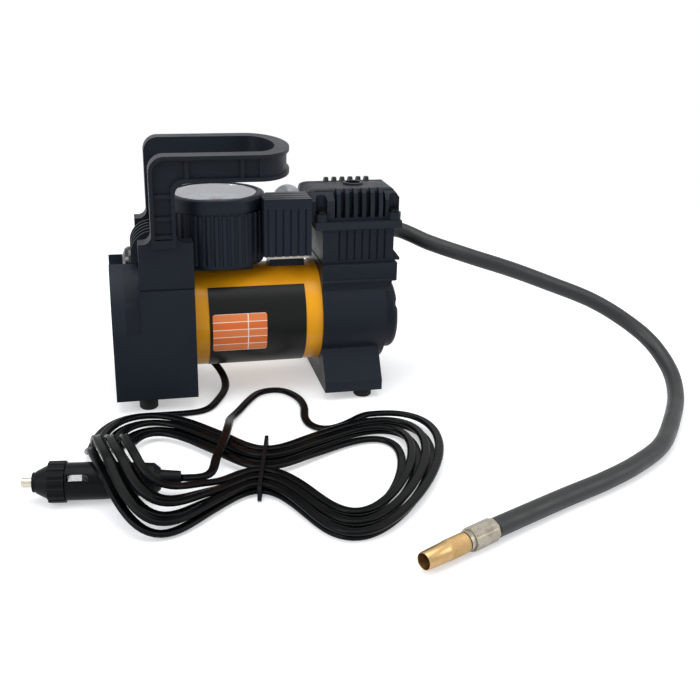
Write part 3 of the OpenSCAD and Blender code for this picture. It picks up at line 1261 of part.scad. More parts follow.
/* ---------- nodes ---------- */
rear_housing();
rear_cover();
cover_screws();
handle();
handle_screws();
motor_can();
label_plate();
motor_rear_bell();
rear_bush();
brushes();
front_plate();
front_bearing();
magnets();
armature_core();
windings();
commutator();
motor_shaft();
cooling_fan();
crankcase();
crankcase_cover();
crankcase_screws();
crank_disc();
connecting_rod();
rod_bearing();
piston_seal();
cylinder_sleeve();
cylinder_block();
valve_plate();
head_gasket();
cylinder_head();
head_screws();
outlet_fitting();
gauge_housing();
gauge_bezel();
gauge_lens();
gauge_dial();
gauge_needle();
gauge_movement();
switch_housing();
switch_body();
switch_rocker();
switch_cap();
lamp_bezel();
lamp_lens();
lamp_led();
feet();
strain_relief();
cord_lead();
cord_hank();
cord_tail();
cord_tie();
plug_body();
plug_nut();
plug_tip();
plug_contact_front();
plug_contact_back();
hose();
hose_ferrule();
chuck_sleeve();
chuck_seal();
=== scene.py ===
"""Looks of a portable 12 V tire inflator with its hose, power cord and plug."""

from __future__ import annotations

import logging
from dataclasses import dataclass, field
from enum import Enum
from math import ceil, cos, hypot, pi, radians, sin, sqrt
from typing import Any, Iterable, Sequence

import bpy
from mathutils import Matrix, Vector

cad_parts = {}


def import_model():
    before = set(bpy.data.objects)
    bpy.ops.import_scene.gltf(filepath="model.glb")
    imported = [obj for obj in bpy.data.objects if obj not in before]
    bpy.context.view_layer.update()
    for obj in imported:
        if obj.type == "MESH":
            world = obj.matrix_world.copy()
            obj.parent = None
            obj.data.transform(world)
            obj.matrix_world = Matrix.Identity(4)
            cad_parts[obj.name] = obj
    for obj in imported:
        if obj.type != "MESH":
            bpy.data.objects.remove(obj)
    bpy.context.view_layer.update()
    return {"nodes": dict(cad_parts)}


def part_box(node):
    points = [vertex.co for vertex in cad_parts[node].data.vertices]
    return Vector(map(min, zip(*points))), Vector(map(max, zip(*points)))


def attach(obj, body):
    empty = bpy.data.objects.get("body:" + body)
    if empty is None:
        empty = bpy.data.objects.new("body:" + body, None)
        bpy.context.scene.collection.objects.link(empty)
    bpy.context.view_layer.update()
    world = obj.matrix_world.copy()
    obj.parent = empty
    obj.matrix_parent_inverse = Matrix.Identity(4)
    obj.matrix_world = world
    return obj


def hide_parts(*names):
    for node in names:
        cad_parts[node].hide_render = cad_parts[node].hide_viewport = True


LOG = logging.getLogger("inflator")
MM = 0.001
UP = Vector((0, 0, 1))
PURE_WHITE = (1.0, 1.0, 1.0, 1.0)
# Edges of CAD nodes: points joined, corners rounded, and how much flat faces lead the shading
WELD_M = 1e-6
ROUND_FROM_DEG = 24
FLAT_WEIGHT = 90
# Corners above this angle stay sharp on the pieces that are made here
SHARP_DEG = 50

Triple = tuple[float, float, float]
Pair = tuple[float, float]
Inputs = dict[str | int, Any]
Node = bpy.types.Node
Tree = bpy.types.NodeTree
Socket = bpy.types.NodeSocket
Object = bpy.types.Object
Material = bpy.types.Material


# ---- helpers
def linear(code: str) -> tuple[float, float, float, float]:
    """Turns an sRGB hex colour into linear RGBA.

    Args:
        code: Colour such as "1c2229".

    Returns:
        Linear red, green, blue and an alpha of 1.
    """
    parts = [int(code[i : i + 2], 16) / 255 for i in (0, 2, 4)]
    r, g, b = (c / 12.92 if c <= 0.04045 else ((c + 0.055) / 1.055) ** 2.4 for c in parts)
    return (r, g, b, 1.0)


def feed(tree: Tree, node: Node, inputs: Inputs) -> None:
    """Sets or links a node's inputs.

    Args:
        tree: Node tree that holds the node.
        node: Node that gets them.
        inputs: Socket values, or output sockets to link from.
    """
    for key, value in inputs.items():
        if isinstance(value, Socket):
            tree.links.new(value, node.inputs[key])
        else:
            node.inputs[key].default_value = value


def add_node(tree: Tree, kind: str, inputs: Inputs | None = None, **settings: Any) -> Node:
    """Adds one node with its settings, values and links.

    Args:
        tree: Node tree that gets the node.
        kind: Blender's node type, less its first word ShaderNode.
        inputs: Socket values, or output sockets to link from.
        settings: Attributes of the node.

    Returns:
        The new node.
    """
    node = tree.nodes.new(f"ShaderNode{kind}")
    for key, value in settings.items():
        setattr(node, key, value)
    feed(tree, node, inputs or {})
    return node


def arith(tree: Tree, operation: str, *values: Socket | float) -> Socket:
    """Returns the result of one sum in a node tree."""
    return add_node(tree, "Math", dict(enumerate(values)), operation=operation).outputs[0]


def empty_tree(owner: Material | bpy.types.World) -> Tree:
    """Clears the nodes of a material or world.

    Args:
        owner: The material or world.

    Returns:
        Its node tree.
    """
    owner.use_nodes = True
    owner.node_tree.nodes.clear()
    return owner.node_tree


def link(obj: Object) -> Object:
    """Puts an object into the scene."""
    bpy.context.scene.collection.objects.link(obj)
    return obj


def new_mesh(
    name: str,
    verts: Iterable[Sequence[float]],
    faces: Iterable[Sequence[int]],
    smooth: bool = True,
    sharp: bool = False,
) -> Object:
    """Makes a mesh object from points and faces, in metres.

    Args:
        name: Name of the object.
        verts: Points in the row frame.
        faces: Corner numbers of each face.
        smooth: Whether faces are shaded smooth.
        sharp: Whether its corners stay sharp all the same.

    Returns:
        The linked object.
    """
    mesh = bpy.data.meshes.new(name)
    mesh.from_pydata([tuple(v) for v in verts], [], [tuple(f) for f in faces])
    mesh.validate()
    mesh.polygons.foreach_set("use_smooth", [smooth] * len(mesh.polygons))
    if sharp:
        mesh.set_sharp_from_angle(angle=radians(SHARP_DEG))
    return link(bpy.data.objects.new(name, mesh))


def paint(obj: Object, material: Material) -> None:
    """Puts one material on an object."""
    obj.data.materials.clear()
    obj.data.materials.append(material)


def flat_heading(yaw_deg: float) -> Vector:
    """Level direction at an angle from +X."""
    return Vector((cos(radians(yaw_deg)), sin(radians(yaw_deg)), 0))


# ---- patterns
def grain(
    tree: Tree, place: Socket, size_mm: float, detail: float = 3.0, stretch: Triple = (1, 1, 1)
) -> Socket:
    """Adds noise whose grain has a real size.

    Args:
        tree: The material's nodes.
        place: Coordinates in metres.
        size_mm: Width of one grain.
        detail: Octaves of the noise.
        stretch: Scale of each axis, below 1 where the grain is drawn out.

    Returns:
        The noise, from 0 to 1.
    """
    mapping = add_node(tree, "Mapping", {"Vector": place, "Scale": stretch})
    values = {"Vector": mapping.outputs[0], "Scale": 1 / MM / size_mm, "Detail": detail, "Roughness": 0.55}
    return add_node(tree, "TexNoise", values).outputs[0]


def ranged(
    tree: Tree, value: Socket, low: float, high: float, start: float = 0.3, stop: float = 0.7
) -> Socket:
    """Spreads a noise value between two limits.

    Args:
        tree: The material's nodes.
        value: Value to spread.
        low: Result at start.
        high: Result at stop.
        start: Input that gives low.
        stop: Input that gives high.

    Returns:
        The spread value.
    """
    values = {"Value": value, "From Min": start, "From Max": stop, "To Min": low, "To Max": high}
    return add_node(tree, "MapRange", values).outputs["Result"]


def bump(
    tree: Tree, height: Socket, depth_mm: float, strength: float = 1.0, below: Socket | None = None
) -> Socket:
    """Adds surface relief of a real depth.

    Args:
        tree: The material's nodes.
        height: Height from 0 to 1.
        depth_mm: Relief between them.
        strength: Share of the relief that shows.
        below: Normal of coarser relief.

    Returns:
        The bent normal.
    """
    values: Inputs = {"Height": height, "Distance": depth_mm * MM, "Strength": strength}
    if below is not None:
        values["Normal"] = below
    return add_node(tree, "Bump", values).outputs["Normal"]


def blend_colours(tree: Tree, share: Socket, first: Any, second: Any) -> Socket:
    """Mixes two colours.

    Args:
        tree: The material's nodes.
        share: Part of the second colour.
        first: Colour or socket at 0.
        second: Colour or socket at 1.

    Returns:
        The mixed colour.
    """
    return add_node(tree, "Mix", {0: share, 6: first, 7: second}, data_type="RGBA").outputs[2]


def edge_wear(tree: Tree) -> Socket:
    """Share of the painted edge tone, which grows to a half on sharp outer edges: painted light, lighter on
    the dark finishes.
    """
    edge = add_node(tree, "NewGeometry").outputs["Pointiness"]
    return ranged(tree, edge, 0.0, 0.5, 0.52, 0.6)


# ---- finishes
@dataclass(frozen=True)
class Finish:
    """A surface finish that builds one procedural material."""

    name: str
    colour: str

    def build(self) -> Material:
        """Makes this finish's material, once.

        Returns:
            The material.
        """
        known = bpy.data.materials.get(self.name)
        if known:
            return known
        material = bpy.data.materials.new(self.name)
        tree = empty_tree(material)
        shader = add_node(tree, "BsdfPrincipled")
        add_node(tree, "OutputMaterial", {"Surface": shader.outputs[0]})
        place = add_node(tree, "TexCoord").outputs["Object"]
        feed(tree, shader, self.look(tree, place))
        return material

    def look(self, tree: Tree, place: Socket) -> Inputs:
        """Wires the finish.

        Args:
            tree: The material's nodes.
            place: Object coordinates in metres.

        Returns:
            What the shader's inputs get.
        """
        raise NotImplementedError


@dataclass(frozen=True)
class MouldedAbs(Finish):
    """ABS from a spark-eroded mould: fine even grain that breaks highlights into a soft sheen."""

    rough: float = 0.46
    # Grain drawn at 0.9 mm, coarser than the real 0.1 mm, so that it shows
    grain_mm: float = 0.9
    depth_mm: float = 0.022
    # Colour of the random cloudy tone, and of sharp edges as painted light: lighter on dark mouldings,
    # darker on pale ones
    scuff: str = "20272f"
    sheen: float = 0.11
    cloud_mm: float = 34.0
    cloud_share: float = 0.35
    smoother: float = 0.05
    duller: float = 0.07
    ior: float = 1.54

    def look(self, tree: Tree, place: Socket) -> Inputs:
        """Wires the grain, a faint cloudy tone and a painted highlight on sharp edges."""
        cloud = grain(tree, place, self.cloud_mm, 2.0)
        scuff = linear(self.scuff)
        tone = blend_colours(tree, ranged(tree, cloud, 0.0, self.cloud_share), linear(self.colour), scuff)
        return {
            # Sharp edges take the edge tone as a painted highlight
            "Base Color": blend_colours(tree, edge_wear(tree), tone, scuff),
            "Roughness": ranged(tree, cloud, self.rough - self.smoother, self.rough + self.duller),
            "IOR": self.ior,
            "Specular IOR Level": self.sheen,
            "Normal": bump(tree, grain(tree, place, self.grain_mm), self.depth_mm),
        }


@dataclass(frozen=True)
class PowderCoat(Finish):
    """Black powder coat on die-cast aluminium: orange peel over slightly wavy metal."""

    rough: float = 0.42
    # Lighter tone of sharp edges: a painted highlight
    thin: str = "282e36"
    sheen: float = 0.12
    peel_mm: float = 1.3
    peel_depth_mm: float = 0.03
    wave_mm: float = 14.0
    wave_depth_mm: float = 0.08
    smoother: float = 0.06
    duller: float = 0.08
    ior: float = 1.52

    def look(self, tree: Tree, place: Socket) -> Inputs:
        """Wires the peel, the casting's waves and a painted highlight on sharp edges."""
        peel = grain(tree, place, self.peel_mm, 2.0)
        wave = grain(tree, place, self.wave_mm, 2.0)
        waves = bump(tree, wave, self.wave_depth_mm, 0.5)
        return {
            "Base Color": blend_colours(tree, edge_wear(tree), linear(self.colour), linear(self.thin)),
            "Roughness": ranged(tree, wave, self.rough - self.smoother, self.rough + self.duller),
            "IOR": self.ior,
            "Specular IOR Level": self.sheen,
            "Normal": bump(tree, peel, self.peel_depth_mm, 0.8, waves),
        }


@dataclass(frozen=True)
class StoveEnamel(Finish):
    """Glossy stove enamel on a rolled steel can: a thin clear layer over an even warm colour."""

    deep: str = "d08a0a"
    sheen: float = 0.25
    cloud_mm: float = 22.0
    cloud_share: float = 0.3
    peel_mm: float = 2.2
    peel_depth_mm: float = 0.012
    rough: Pair = (0.3, 0.4)
    coat: float = 0.1
    coat_rough: float = 0.12
    ior: float = 1.5

    def look(self, tree: Tree, place: Socket) -> Inputs:
        """Wires the slow colour drift, orange peel and clear coat."""
        cloud = grain(tree, place, self.cloud_mm, 2.0)
        peel = grain(tree, place, self.peel_mm, 2.0)
        share = ranged(tree, cloud, 0.0, self.cloud_share)
        return {
            "Base Color": blend_colours(tree, share, linear(self.colour), linear(self.deep)),
            "Roughness": ranged(tree, cloud, *self.rough),
            "IOR": self.ior,
            "Specular IOR Level": self.sheen,
            "Coat Weight": self.coat,
            "Coat Roughness": self.coat_rough,
            "Normal": bump(tree, peel, self.peel_depth_mm, 0.7),
        }


@dataclass(frozen=True)
class Metal(Finish):
    """Bare or plated metal: the fine lines of its making stretch the highlight, and tarnish clouds it."""

    rough: float = 0.3
    line_mm: float = 0.5
    depth_mm: float = 0.01
    tarnish: str = "6f6450"
    tarnish_share: float = 0.25
    stretch: Triple = (1, 1, 1)
    cloud_mm: float = 5.0
    smoother: float = 0.08
    duller: float = 0.1

    def look(self, tree: Tree, place: Socket) -> Inputs:
        """Wires the drawn-out lines and a light tarnish."""
        lines = grain(tree, place, self.line_mm, 4.0, self.stretch)
        cloud = grain(tree, place, self.cloud_mm, 4.0)
        share = ranged(tree, cloud, 0.0, self.tarnish_share, 0.4, 0.75)
        return {
            "Base Color": blend_colours(tree, share, linear(self.colour), linear(self.tarnish)),
            "Metallic": 1.0,
            "Roughness": ranged(tree, lines, self.rough - self.smoother, self.rough + self.duller),
            "Normal": bump(tree, lines, self.depth_mm, 0.8),
        }


@dataclass(frozen=True)
class SoftSkin(Finish):
    """Extruded rubber or soft vinyl: smooth along its length, with a low sheen and dust in its pores."""

    rough: float = 0.5
    pore_mm: float = 0.7
    depth_mm: float = 0.02
    dust: str = "4b4b49"
    dust_share: float = 0.3
    sheen: float = 0.22
    cloud_mm: float = 11.0
    smoother: float = 0.07
    duller: float = 0.09
    ior: float = 1.52

    def look(self, tree: Tree, place: Socket) -> Inputs:
        """Wires the pores, dust and slow changes of sheen."""
        pores = grain(tree, place, self.pore_mm)
        cloud = grain(tree, place, self.cloud_mm)
        share = ranged(tree, cloud, 0.0, self.dust_share, 0.35, 0.75)
        return {
            "Base Color": blend_colours(tree, share, linear(self.colour), linear(self.dust)),
            "Roughness": ranged(tree, cloud, self.rough - self.smoother, self.rough + self.duller),
            "IOR": self.ior,
            "Specular IOR Level": self.sheen,
            "Normal": bump(tree, pores, self.depth_mm, 0.8),
        }


@dataclass(frozen=True)
class ClearMoulding(Finish):
    """Clear or milky moulded plastic: light passes, with a reflection that grows at a low angle."""

    rough: float = 0.05
    passes: float = 1.0
    ior: float = 1.49
    sheen: float = 0.5
    flow_mm: float = 9.0
    flow_depth_mm: float = 0.02
    duller: float = 0.06

    def look(self, tree: Tree, place: Socket) -> Inputs:
        """Wires the clear body and faint flow lines."""
        flow = grain(tree, place, self.flow_mm, 2.0)
        return {
            "Base Color": linear(self.colour),
            "IOR": self.ior,
            "Transmission Weight": self.passes,
            "Specular IOR Level": self.sheen,
            "Roughness": ranged(tree, flow, self.rough, self.rough + self.duller),
            "Normal": bump(tree, flow, self.flow_depth_mm, 0.4),
        }


@dataclass(frozen=True)
class PrintedFilm(Finish):
    """Blank rating label: matt black film with a panel of empty rows printed in orange."""

    panel: str = "dc6f35"
    band: str = "e07f4a"
    rule: str = "f6e2d2"
    x_mm: Pair = (-29.6, 3.0)
    z_mm: Pair = (33.0, 57.0)
    corner_mm: float = 1.4
    split_mm: float = -8.4
    split_half_mm: float = 0.3
    rows: int = 5
    row_half: float = 0.45
    web_mm: float = 0.8
    web_depth_mm: float = 0.006
    rough: Pair = (0.3, 0.42)
    sheen: float = 0.2
    ior: float = 1.5

    def past_corner(self, tree: Tree, value: Socket, low: float, high: float) -> Socket:
        """Squares how far a place lies past the centres of the panel's corners.

        Args:
            tree: The material's nodes.
            value: Place along one axis, in millimetres.
            low: Panel's edge on that axis.
            high: Panel's other edge.

        Returns:
            The square, 0 between the centres.
        """
        off_middle = arith(tree, "ABSOLUTE", arith(tree, "SUBTRACT", value, (low + high) / 2))
        past = arith(tree, "SUBTRACT", off_middle, (high - low) / 2 - self.corner_mm)
        return arith(tree, "POWER", arith(tree, "MAXIMUM", past, 0.0), 2.0)

    def look(self, tree: Tree, place: Socket) -> Inputs:
        """Wires the film, the rounded panel, its rows and rules."""
        axes = add_node(tree, "SeparateXYZ", {0: place})
        x = arith(tree, "DIVIDE", axes.outputs[0], MM)
        z = arith(tree, "DIVIDE", axes.outputs[2], MM)
        past_x = self.past_corner(tree, x, *self.x_mm)
        past_z = self.past_corner(tree, z, *self.z_mm)
        inside = arith(tree, "LESS_THAN", arith(tree, "ADD", past_x, past_z), self.corner_mm**2)
        low, high = self.z_mm
        row = arith(tree, "DIVIDE", arith(tree, "SUBTRACT", z, low), (high - low) / self.rows)
        off_row = arith(tree, "ABSOLUTE", arith(tree, "SUBTRACT", arith(tree, "FRACT", row), 0.5))
        on_rule = arith(tree, "SUBTRACT", 1.0, arith(tree, "LESS_THAN", off_row, self.row_half))
        off_split = arith(tree, "ABSOLUTE", arith(tree, "SUBTRACT", x, self.split_mm))
        ruled = arith(tree, "MAXIMUM", on_rule, arith(tree, "LESS_THAN", off_split, self.split_half_mm))
        striped = arith(tree, "LESS_THAN", arith(tree, "FRACT", arith(tree, "MULTIPLY", row, 0.5)), 0.5)
        ink = blend_colours(tree, striped, linear(self.panel), linear(self.band))
        ink = blend_colours(tree, ruled, ink, linear(self.rule))
        web = grain(tree, place, self.web_mm)
        return {
            "Base Color": blend_colours(tree, inside, linear(self.colour), ink),
            "Roughness": ranged(tree, web, *self.rough),
            "IOR": self.ior,
            "Specular IOR Level": self.sheen,
            "Normal": bump(tree, web, self.web_depth_mm, 0.5),
        }


class Palette(Enum):
    """The object's finishes."""

    HOUSING = MouldedAbs("abs_spark_eroded_black", "12171e")
    GAUGE_SHELL = MouldedAbs("abs_fluted_black", "171e28", 0.36, 1.1, 0.016)
    PLUG_SHELL = MouldedAbs("phenolic_moulded_black", "050607", 0.34, 1.4, 0.012, "121518", 0.08)
    INNER = MouldedAbs("nylon_moulded_dark", "0d0e10", 0.5)
    CASTING = PowderCoat("powder_coat_black", "151b23")
    CAN = StoveEnamel("stove_enamel_amber", "e9a010")
    FILM = PrintedFilm("printed_film_blank", "08090a")
    CORD = SoftSkin("vinyl_extruded_black", "040506", 0.3, 1.6, 0.01, "0a0b0d", 0.3, 0.08)
    HOSE = SoftSkin("rubber_hose_satin", "0c0e10", 0.46, 0.9, 0.04, "1f2123", 0.35, 0.42)
    RUBBER = SoftSkin("rubber_moulded_black", "0a0b0c", 0.6, 0.8, 0.02, "1a1b1b", 0.3)
    SEAL = SoftSkin("ptfe_turned_white", "e6e4dc", 0.4, 1.0, 0.01, "cfccc0", 0.2)
    PAD = SoftSkin("nylon_moulded_natural", "cfc9bd", 0.5, 1.0, 0.01, "b8b0a2", 0.3)
    BRASS = Metal("brass_turned", "b99a6c", 0.34, 0.6, 0.006, "8f7040", 0.45)
    BORE = Metal("brass_threaded_dull", "5c4224", 0.5, 0.6, 0.01, "33230f", 0.5)
    FERRULE = Metal("steel_crimped_zinc", "a39d90", 0.38, 0.9, 0.03, "6b6252", 0.7)
    STEEL = Metal("steel_ground_bright", "bdbec0", 0.26, 0.4, 0.006, "8a8b8d", 0.25, (0.1, 1, 1))
    SCREW = Metal("steel_zinc_plated", "b4b6ba", 0.34, 0.7, 0.01, "84868a", 0.3)
    DARK_SCREW = Metal("steel_phosphated_black", "1e2023", 0.45, 0.7, 0.01, "2c2d30", 0.3)
    NICKEL = Metal("brass_nickel_plated", "c9c3b2", 0.24, 0.6, 0.008, "8f8568", 0.35)
    ALLOY = Metal("aluminium_die_cast", "a9abae", 0.48, 1.2, 0.04, "7c7e82", 0.35)
    IRON = Metal("steel_laminated", "6b6c70", 0.45, 0.5, 0.02, "4a4340", 0.4, (6, 1, 1))
    COPPER = Metal("copper_enamelled", "a35c32", 0.3, 0.9, 0.08, "6e3414", 0.4)
    FERRITE = SoftSkin("ferrite_sintered", "3a3a3d", 0.7, 0.6, 0.03, "55555a", 0.4)
    FIBRE = SoftSkin("fibre_sheet", "4b4a42", 0.8, 0.5, 0.03, "65635a", 0.4)
    # Painted reflection: the pale blue-grey twentieth that does not pass greys the dial like glare
    LENS = ClearMoulding("acrylic_clear", "bfc6d3", 0.015, 0.95, 1.49, 0.4)
    SMOKED = ClearMoulding("polycarbonate_smoked", "1b1e22", 0.12, 0.6, 1.58, 0.3)
    MILKY = ClearMoulding("silicone_clear_cap", "c3c9cc", 0.32, 0.55, 1.43)
    RED = MouldedAbs("abs_glossy_red", "a5130f", 0.25, 1.2, 0.005, "b3302a")
    WHITE = MouldedAbs("enamel_matt_white", "dfe1e4", 0.5, 0.8, 0.006, "cfd2d8")
    LED = MouldedAbs("epoxy_led_white", "e8e6d6", 0.3, 0.8, 0.004, "d8d4b8")
    INK = MouldedAbs("ink_printed_black", "050506", 0.5, 0.8, 0.004, "0a0a0b")
    NEEDLE = MouldedAbs("enamel_needle_red", "b01b14", 0.4, 0.8, 0.004, "bd3a33")

    @property
    def material(self) -> Material:
        """Material of this finish."""
        return self.value.build()


@dataclass
class SubAssembly:
    """Part of the object whose CAD nodes get their looks here. Sizes in millimetres."""

    nodes: dict[str, Object]

    def dress_nodes(self, finishes: dict[Palette, str]) -> None:
        """Puts finishes on CAD nodes.

        Args:
            finishes: Names of the nodes that get each finish.
        """
        for finish, names in finishes.items():
            for name in names.split():
                paint(self.nodes[name], finish.material)

    def soften(self, width: float, names: str) -> None:
        """Rounds the sharp edges of CAD nodes with modifiers alone.

        Args:
            width: Width of the rounding.
            names: Names of the nodes that get it.
        """
        for name in names.split():
            stack = self.nodes[name].modifiers
            stack.new("weld", "WELD").merge_threshold = WELD_M
            edge = stack.new("edge", "BEVEL")
            edge.width = width * MM
            edge.segments = 2
            edge.limit_method = "ANGLE"
            edge.angle_limit = radians(ROUND_FROM_DEG)
            edge.use_clamp_overlap = True
            edge.miter_outer = "MITER_ARC"
            flats = stack.new("flats", "WEIGHTED_NORMAL")
            flats.mode = "FACE_AREA_WITH_ANGLE"
            flats.weight = FLAT_WEIGHT


# ---- routes
def smooth_point(points: Sequence[Vector], t: float) -> Vector:
    """Point of the smooth curve through given points.

    Args:
        points: Points of the route.
        t: Place along it, one unit for each stretch.

    Returns:
        The point.
    """
    n = len(points) - 1
    i = min(int(t), n - 1)
    u = t - i
    a, b, c, d = points[max(i - 1, 0)], points[i], points[i + 1], points[min(i + 2, n)]
    square, cube = a - 2.5 * b + 2 * c - d / 2, 1.5 * b - 1.5 * c + (d - a) / 2
    return b + u * (c - a) / 2 + u * u * square + u**3 * cube


def smooth_path(points: Sequence[Sequence[float]], per: int) -> list[Vector]:
    """Points of the smooth curve, per of them for each stretch, as the CAD route has it."""
    knots = [Vector(p) for p in points]
    return [smooth_point(knots, i / per) for i in range((len(knots) - 1) * per + 1)]


def resample(path: Sequence[Vector], step: float) -> list[Vector]:
    """Spaces points evenly along a path.

    Args:
        path: Points of the path.
        step: Distance between new points.

    Returns:
        The new points, ends kept.
    """
    marks = [0.0]
    for a, b in zip(path, path[1:]):
        marks.append(marks[-1] + (b - a).length)
    count = max(2, round(marks[-1] / step))
    out = []
    k = 0
    for i in range(count + 1):
        s = marks[-1] * i / count
        while k < len(marks) - 2 and marks[k + 1] < s:
            k += 1
        span = marks[k + 1] - marks[k]
        out.append(path[k].lerp(path[k + 1], 0.0 if span == 0 else (s - marks[k]) / span))
    return out


def relaxed(path: list[Vector], rounds: int) -> list[Vector]:
    """Evens out small kinks where curves join.

    Args:
        path: Points of the path.
        rounds: How often each point moves towards its neighbours.

    Returns:
        The new points, ends kept.
    """
    for _ in range(rounds):
        inner = [b * 0.5 + (a + c) * 0.25 for a, b, c in zip(path, path[1:], path[2:])]
        path = [path[0], *inner, path[-1]]
    return path


def length_of(path: Sequence[Vector]) -> float:
    """Length of a path in its own unit."""
    return sum((b - a).length for a, b in zip(path, path[1:]))


def tube(name: str, path: Sequence[Vector], section: Sequence[Pair], first: Vector, last: Vector) -> Object:
    """Sweeps a section along a path, keeping it level.

    Args:
        name: Name of the object.
        path: Centreline in metres.
        section: Points across and up, in metres.
        first: Direction at the start.
        last: Direction at the end.

    Returns:
        The tube.
    """
    inner = [b - a for a, b in zip(path, path[2:])]
    verts = []
    for p, heading in zip(path, [first, *inner, last]):
        t = heading.normalized()
        side = UP.cross(t).normalized()
        rise = t.cross(side)
        verts += [p + side * a + rise * b for a, b in section]
    m = len(section)
    faces = []
    for i in range(len(path) - 1):
        for k in range(m):
            a, b = i * m + k, i * m + (k + 1) % m
            faces.append((a, b, b + m, a + m))
    faces.append(tuple(reversed(range(m))))
    faces.append(tuple(range((len(path) - 1) * m, len(path) * m)))
    return new_mesh(name, verts, faces)


def ease(u: float) -> float:
    """Smooth step from 0 to 1."""
    v = min(1.0, max(0.0, u))
    return v * v * (3 - 2 * v)


def soft_rise(x: float, soft: float) -> float:
    """Rise of x above 0, rounded over its first stretch.

    Args:
        x: Value that rises.
        soft: Length of the rounded stretch.

    Returns:
        0 below 0, and x less half the stretch beyond it.
    """
    if x <= 0:
        return 0.0
    return x * x / (2 * soft) if x < soft else x - soft / 2


# ---- cord and hose
@dataclass
class PowerCord(SubAssembly):
    """Flat twin cord, from the strain relief through the tied hank to the plug."""

    width: float = 5.0
    thick: float = 2.7
    waist_share: float = 0.62
    exit: Triple = (-34.0, 12.0, 14.3)
    lead_knots: tuple[Triple, ...] = ((-22, 3, 7), (-21, -12, 3), (-28, -30, 1.6), (-38, -44, 1.45))
    tail_knots: tuple[Triple, ...] = (
        (40, -82, 3.2), (29, -83, 1.8), (21.5, -76, 1.5), (20, -64, 1.45), (22.5, -49, 1.45),
        (21, -34, 1.45), (13, -21, 1.45), (0, -21.5, 1.45), (-9, -33, 1.45), (-17, -48, 1.6),
        (-24, -62, 3), (-26, -76, 7.5), (-29, -92, 10.2), (-33, -108, 10.4), (-38, -124, 10.4),
    )
    # Hank: its turns, then how far each one lies from the middle one
    turns: float = 5.8
    half_l: float = 92.0
    start_deg: float = 130.0
    ring_shift_deg: float = 8.0
    centre: Pair = (-14.0, -128.0)
    yaw_deg: float = -12.0
    waist_half: float = 2.4
    waist_step: float = 7.5
    lobe_w: float = 120.0
    lobe_step: float = 13.2
    length_step: float = 7.0
    lobe_soft: float = 0.3
    fan_out: float = 0.003
    mid_dip: float = 0.35
    mid_dip_turns: float = 0.45
    # Its height: half lies on half, the tie lifts both, and the plug lies under them
    floor_gap: float = 0.05
    layer_gap: float = 0.95
    layer_spread: float = 0.05
    layer_turns: float = 0.5
    tie_lift: float = 1.0
    tie_near: float = 20.0
    tie_fade: float = 16.0
    over_h: float = 23.0
    over_r: float = 11.0
    over_fall: float = 0.55
    over_soft: float = 4.0
    # Plug: its tip, direction and the places along it
    tip: Triple = (-135.0, -134.5, 10.4)
    plug_yaw_deg: float = -7.0
    plug_end_at: float = 77.8
    nut_x0: float = 13.5
    neck_x1: float = 47.8
    nut_edge: float = 0.3
    end_pieces: str = "plug_body plug_nut plug_tip plug_contact_front plug_contact_back cord_tie"
    rings_per_turn: int = 96
    ring_step: float = 3.0

    @property
    def plug_dir(self) -> Vector:
        """Direction from the plug's tip to its cord end."""
        return flat_heading(self.plug_yaw_deg)

    def plug_distance(self, x: float, y: float) -> float:
        """Distance in plan from the front half of the plug.

        Args:
            x: Place along the machine.
            y: Place across it.

        Returns:
            The distance.
        """
        d = self.plug_dir
        dx, dy = x - self.tip[0], y - self.tip[1]
        s = min(self.neck_x1, max(self.nut_x0, dx * d.x + dy * d.y))
        return hypot(dx - s * d.x, dy - s * d.y)

    def hank_point(self, t: float) -> Vector:
        """Point of the hank.

        Args:
            t: Turns from its start.

        Returns:
            The point.
        """
        mid = self.turns / 2
        j = abs(t - mid)
        i = j - self.mid_dip * (1 - ease(j / self.mid_dip_turns))
        turn = self.start_deg + 360 * t
        a = radians(turn - self.ring_shift_deg * sin(radians(2 * turn)))
        lobe = sqrt(cos(a) ** 2 + self.lobe_soft**2) - self.lobe_soft
        y = sin(a) * (self.waist_half + self.waist_step * i + (self.lobe_w + self.lobe_step * i) * lobe)
        x = (self.half_l - self.length_step * mid + self.length_step * i * cos(a) ** 2) * cos(a)
        x *= 1 + self.fan_out * y
        along = flat_heading(self.yaw_deg)
        wx = x * along.x - y * along.y + self.centre[0]
        wy = x * along.y + y * along.x + self.centre[1]
        over = self.over_h - self.over_fall * max(0.0, self.plug_distance(wx, wy) - self.over_r)
        lift = soft_rise(over, self.over_soft)
        layer = (self.thick + self.layer_gap) * (1 + self.layer_spread * lift)
        z = self.floor_gap + self.thick / 2 + layer * ease((t - mid) / self.layer_turns + 0.5)
        z += self.tie_lift * (1 - ease((abs(x) - self.tie_near) / self.tie_fade)) + lift
        return Vector((wx, wy, z))

    def route(self) -> list[Vector]:
        """Finds the centreline from the housing to the plug.

        Returns:
            Its points in metres.
        """
        first, last = self.hank_point(0), self.hank_point(self.turns)
        first_dir = (self.hank_point(0.001) - first).normalized()
        last_dir = (last - self.hank_point(self.turns - 0.001)).normalized()
        start = Vector(self.exit)
        d = self.plug_dir
        end = Vector(self.tip) + d * self.plug_end_at
        lead = [start, start + Vector((5, 0, -0.4)), *self.lead_knots, first - 12 * first_dir, first]
        tail = [last, last + 6 * last_dir, *self.tail_knots, end + Vector((14, -3 * d.y, 0)), end]
        count = ceil(self.turns * self.rings_per_turn)
        hank = [self.hank_point(self.turns * k / count) for k in range(count + 1)]
        whole = smooth_path(lead, 12)[:-1] + hank[:-1] + smooth_path(tail, 12)
        return [p * MM for p in relaxed(resample(whole, self.ring_step), 2)]

